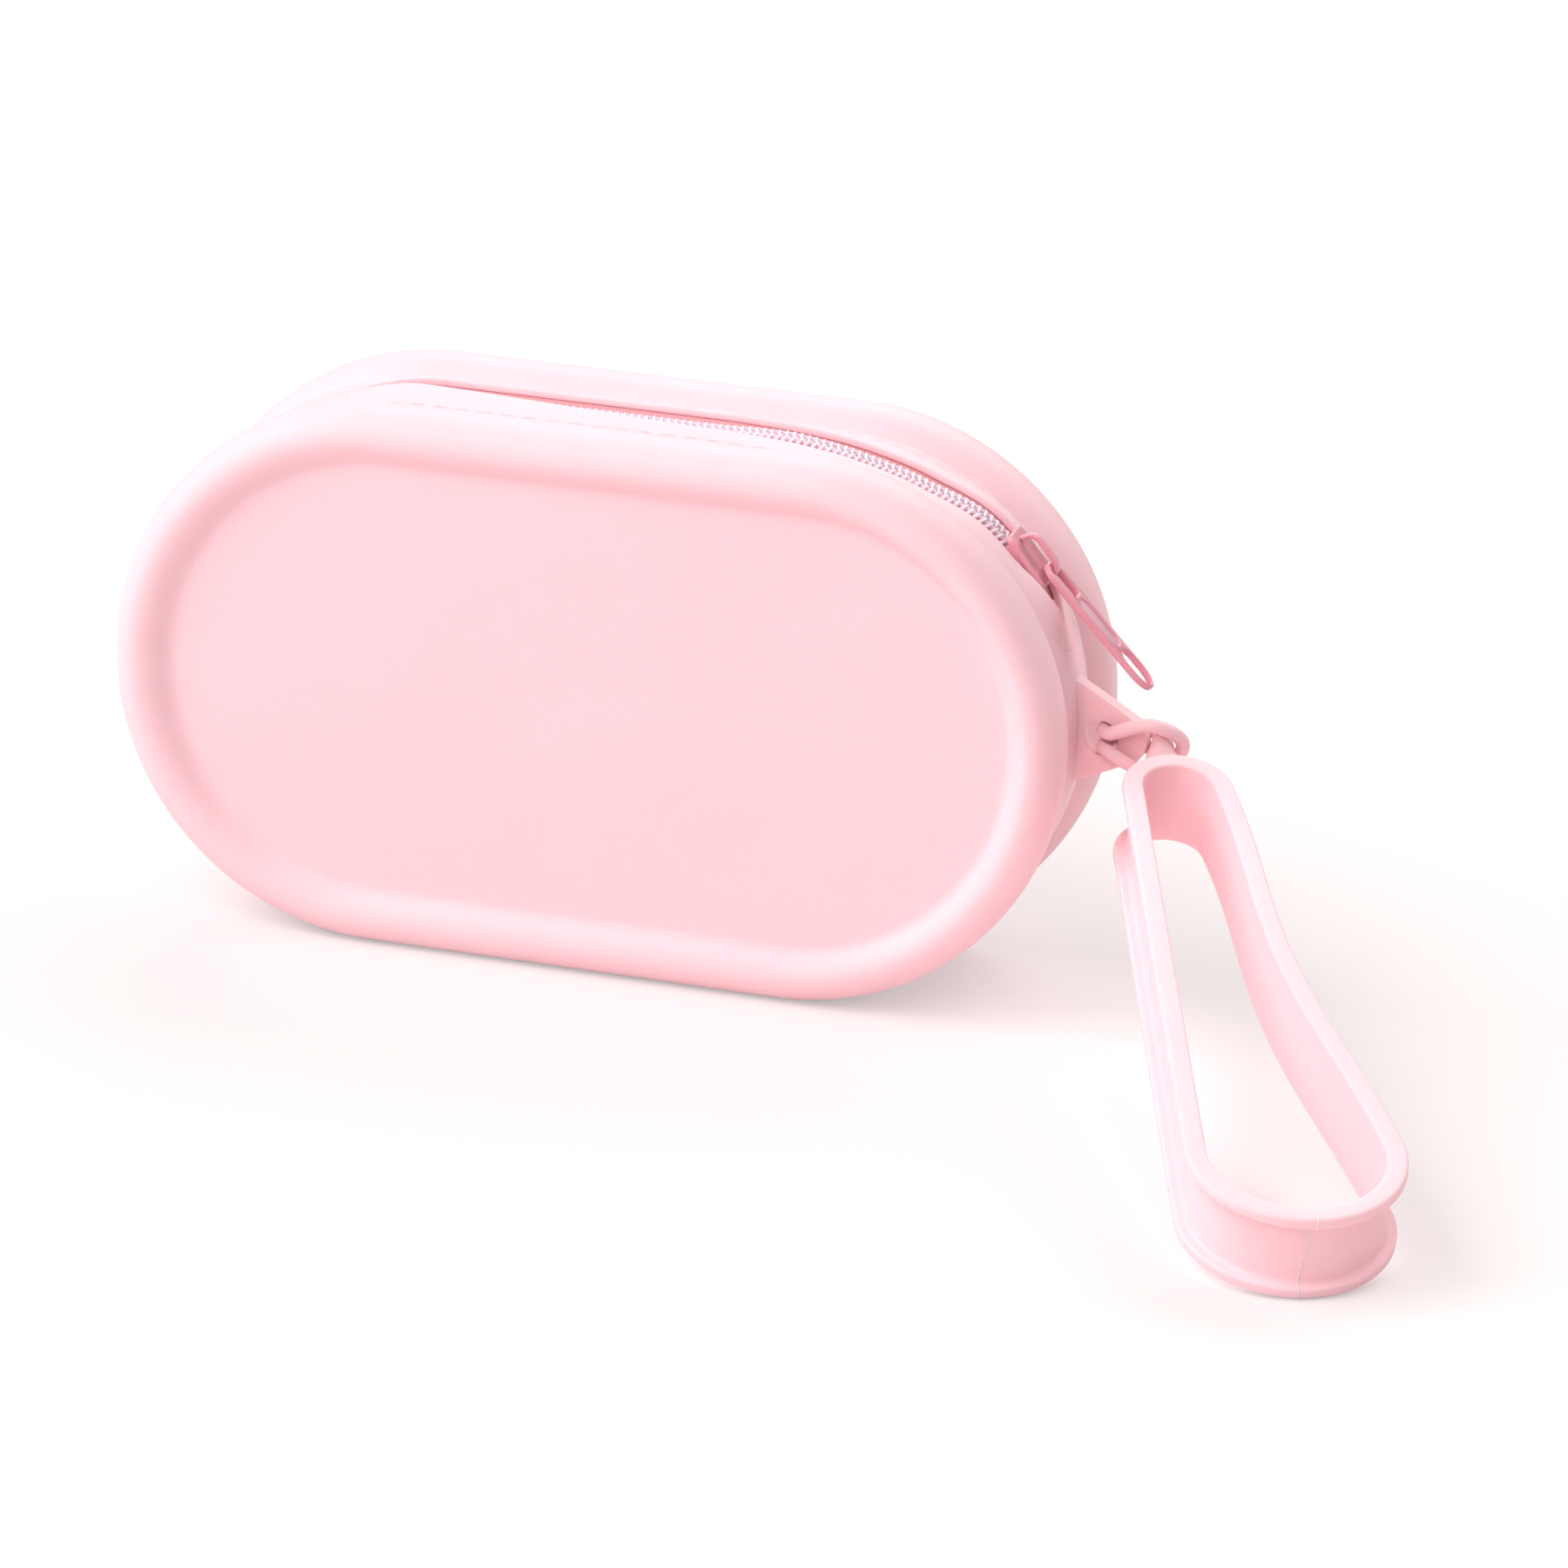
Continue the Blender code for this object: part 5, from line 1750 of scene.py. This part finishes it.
@dataclass
class Hitch:
    """Soft cord of the strap, hitched through the lug's hole."""

    strap: WristStrap
    finish: Silicone
    diameter: float = 2.4 * MM
    gap: float = 0.3 * MM
    lead: float = 1.2 * MM
    collar_radii: Pair = (3.6 * MM, 1.3 * MM)
    collar_tip: Vector = Vector((10.0, -0.9, 1.3)) * MM
    collar_hollow: float = 1.3
    collar_rounding: float = 0.5 * MM
    span_steps: int = 7
    far_leg: tuple[Triple, ...] = (
        (10.5, 1.2, 0.0), (8.2, 3.1, 0.8), (5.0, 3.2, 1.2), (2.0, 3.0, 1.4), (0.5, 1.6, 1.4),
        (0.4, 0.0, 1.4),
    )
    bight: tuple[Triple, ...] = (
        (0.5, -1.6, 1.4), (2.0, -3.1, 1.6), (5.0, -3.5, 2.9), (7.5, -3.5, 3.8), (9.5, -3.2, 3.9),
        (11.5, -1.9, 3.0), (13.0, 0.2, 1.4), (13.5, 1.8, -0.6), (12.6, 2.2, -2.7), (11.0, 1.0, -4.4),
        (9.2, -0.6, -5.0), (7.3, -2.1, -4.4), (5.0, -3.3, -3.1), (2.0, -3.1, -1.7), (0.5, -1.6, -1.4),
    )
    near_leg: tuple[Triple, ...] = (
        (0.4, 0.0, -1.4), (0.5, 1.6, -1.4), (2.0, 3.0, -1.4), (5.0, 3.2, -1.6), (7.9, 3.0, -2.2),
        (9.0, 1.6, -2.5), (9.0, -0.2, -2.4),
    )

    @property
    def foot(self) -> Vector:
        """Place over the stem's knob where the cord's two ends start."""
        return self.strap.stem_root + self.strap.stem_way * (self.strap.stem_length + self.gap)

    def route(self) -> list[Vector]:
        """Middle line of the cord, from the stem through the lug, round the stem and back.

        Returns:
            The line's points.
        """
        strap = self.strap
        way = strap.stem_way
        foot = self.foot
        side = strap.across * (self.diameter + self.gap) / 2
        places = self.far_leg + self.bight + self.near_leg
        return ([foot + side, foot + side + way * self.lead]
                + [strap.lug_hole + Vector(place) * MM for place in places]
                + [foot - side + way * self.lead, foot - side])

    def make_collar(self) -> BMesh:
        """Flared collar in which the cord's two ends meet over the stem.

        Returns:
            The collar's geometry.
        """
        run = self.strap.lug_hole + self.collar_tip - self.foot
        wide, narrow = self.collar_radii
        profile = [(narrow + (wide - narrow) * (1 - share) ** self.collar_hollow, run.length * share)
                   for share in spread_evenly(0.0, 1.0, 10)]
        profile += [(narrow * math.cos(turn), run.length + narrow * math.sin(turn))
                    for turn in spread_evenly(0.0, QUARTER, TURN_STEPS)[1:]]
        bm = spun(profile)
        round_edges(bm, sharp_edges(bm), self.collar_rounding)
        turn = run.to_track_quat("Z", "Y").to_matrix().to_4x4()
        bmesh.ops.transform(bm, matrix=Matrix.Translation(self.foot) @ turn, verts=bm.verts)
        return bm

    def build(self, shop: Workshop) -> None:
        """Make the cord and its collar.

        Args:
            shop: Workshop that turns geometry into pieces.
        """
        cord = tube(smooth_route(self.route(), self.span_steps), self.diameter, sides=16)
        shop.add(cord, "hitch_cord", self.finish, Body.HITCH, "cord_silicone", ["strap_hitch"])
        shop.add(self.make_collar(), "hitch_collar", self.finish, Body.HITCH, "cord_silicone")


@dataclass
class Lamp:
    """Soft square lamp that faces a point."""

    name: str
    place: Triple
    power: float
    size: float = 2.0
    colour: Triple = (1.0, 1.0, 0.988)

    def build(self, target: Vector) -> None:
        """Set up the lamp.

        Args:
            target: Point that it faces.
        """
        light = bpy.data.lights.new(self.name, "AREA")
        light.shape = "SQUARE"
        light.size = self.size
        light.energy = self.power
        light.color = self.colour
        lamp = bpy.data.objects.new(self.name, light)
        lamp.location = self.place
        lamp.rotation_mode = "QUATERNION"
        lamp.rotation_quaternion = (target - lamp.location).to_track_quat("-Z", "Y")
        bpy.context.scene.collection.objects.link(lamp)


@dataclass
class Studio:
    """Pale floor, soft light and the camera."""

    target: Vector
    camera_place: Vector = Vector((0.326657, -1.060918, 0.421859))
    azimuth: float = math.radians(15.347)
    elevation: float = math.radians(19.255)
    roll: float = math.radians(2.571)
    lens: float = 159.32
    sensor_width: float = 36.0
    clip_start: float = 0.05
    floor_size: float = 8.0
    # Pinkish floor colour: the lit floor clips to white, so the pink shows only in the shadows, as painted
    # bounce light from the bag.
    floor_colour_with_painted_bounce: Triple = (0.84, 0.76, 0.76)
    floor_roughness: float = 0.9
    floor_shine: float = 0.1
    paper_glow: float = 0.4
    world_strength: float = 0.09
    lamps: tuple[Lamp, ...] = (
        Lamp("key", (-1.63, -0.70, 1.66), 61.0),
        Lamp("front", (0.0, -1.80, 1.62), 31.0),
        Lamp("back", (0.0, 1.83, 1.62), 29.0),
        Lamp("right back", (1.46, 1.24, 1.51), 24.0),
    )

    def make_floor(self) -> None:
        """Lay the floor, whose paper is lifted towards white in view but lights nothing, and whose pink
        tint is painted pink bounce light in its shadows.
        """
        bm = bmesh.new()
        bmesh.ops.create_grid(bm, x_segments=1, y_segments=1, size=self.floor_size / 2)
        material, build, shader = new_material("studio_paper")
        build.feed(shader, {"Base Color": (*self.floor_colour_with_painted_bounce, 1.0), "Roughness": self.floor_roughness,
                            "Specular IOR Level": self.floor_shine})
        ray = build.add("LightPath").outputs
        seen = build.math("MAXIMUM", ray["Is Camera Ray"],
                          build.math("MAXIMUM", ray["Is Glossy Ray"], ray["Is Transmission Ray"]))
        white = build.add("Emission", Color=WHITE, Strength=1.0)
        share = build.math("MULTIPLY", seen, self.paper_glow)
        mix = build.add("MixShader", None, {0: share, 1: shader.outputs[0], 2: white.outputs[0]})
        build.feed(material.node_tree.nodes["Material Output"], {"Surface": mix.outputs[0]})
        floor = new_object(bm, "floor", material)

    def make_world(self) -> None:
        """Light the scene softly from all round, with a white backdrop in view."""
        world = bpy.data.worlds.new("studio")
        world.use_nodes = True
        build = NodeBuilder(world.node_tree)
        seen = build.add("LightPath").outputs["Is Camera Ray"]
        strength = build.math("MAXIMUM", seen, self.world_strength)
        build.feed(world.node_tree.nodes["Background"], {"Color": WHITE, "Strength": strength})
        bpy.context.scene.world = world

    def make_camera(self) -> None:
        """Set up the camera at the photograph's place and angle."""
        level = math.cos(self.elevation)
        forward = Vector((-math.sin(self.azimuth) * level, math.cos(self.azimuth) * level,
                          -math.sin(self.elevation)))
        right = Vector((math.cos(self.azimuth), math.sin(self.azimuth), 0.0))
        right.rotate(Quaternion(forward, -self.roll))
        up = right.cross(forward)
        data = bpy.data.cameras.new("camera")
        data.lens = self.lens
        data.sensor_width = self.sensor_width
        data.clip_start = self.clip_start
        camera = bpy.data.objects.new("camera", data)
        turn = Matrix((right, up, -forward)).transposed().to_4x4()
        camera.matrix_world = Matrix.Translation(self.camera_place) @ turn
        bpy.context.scene.collection.objects.link(camera)
        bpy.context.scene.camera = camera

    def build(self) -> None:
        """Make the floor, the world, the lamps and the camera."""
        self.make_floor()
        self.make_world()
        for lamp in self.lamps:
            lamp.build(self.target)
        self.make_camera()
        bpy.context.scene.view_settings.view_transform = "Standard"


def main() -> None:
    """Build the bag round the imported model, then the studio."""
    logging.basicConfig(level=logging.INFO, format="%(message)s")
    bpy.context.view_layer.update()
    low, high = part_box("body_shell")
    rim_radius = (high.z - low.z) / 2
    path = BagPath(end_x=-low.x - rim_radius, middle_y=(low.y + high.y) / 2, centre_z=rim_radius,
                   arc_radius=rim_radius - BAND_DROP)
    shop = Workshop(Effects())
    shell = Shell(path, rim_radius, Silicone("body_silicone"))
    shell.build(shop)
    # The tape's deep coral default is partly painted shade in the slot under the lips.
    Zip(path, Woven("tape_polyester"), Filament("coil_nylon", (0.96, 0.80, 0.85), 0.45, glow=0.7),
        # Deeper mauve of the core: partly painted shade between the coil's turns.
        Filament("coil_core", (0.95, 0.56, 0.72), 0.70, glow=0.7),
        Filament("seam_thread", (0.955, 0.60, 0.65), 0.70),
        Enamel("stop_metal", (0.735, 0.315, 0.382))).build(shop)
    slider = Slider(path, Enamel("slider_enamel", ENAMEL_PINK), Enamel("bridge_enamel", ENAMEL_PINK))
    slider.build(shop)
    face = Enamel("pull_face", (0.74, 0.40, 0.49), 0.45)
    Pull(slider, Enamel("pull_enamel", ENAMEL_PINK), face).build(shop)
    reach = shell.lug_tip_radius + shell.lug_hole_setback + Hitch.gap + Hitch.diameter / 2
    tip = Vector((reach, shell.lug_thickness / 2, 0.0))
    # The paler ridge colour below is a painted highlight along the parting ridge.
    strap = WristStrap(shell.lug_hole, tip, Silicone("strap_silicone", speck_amount=0.035),
                       Silicone("ridge_painted_highlight", (0.99, 0.80, 0.83), deep_colour=(0.99, 0.78, 0.81)))
    strap.build(shop)
    Hitch(strap, Silicone("cord_silicone")).build(shop)
    Studio(Vector((0.0, path.middle_y, rim_radius))).build()


if __name__ == "__main__":
    main()
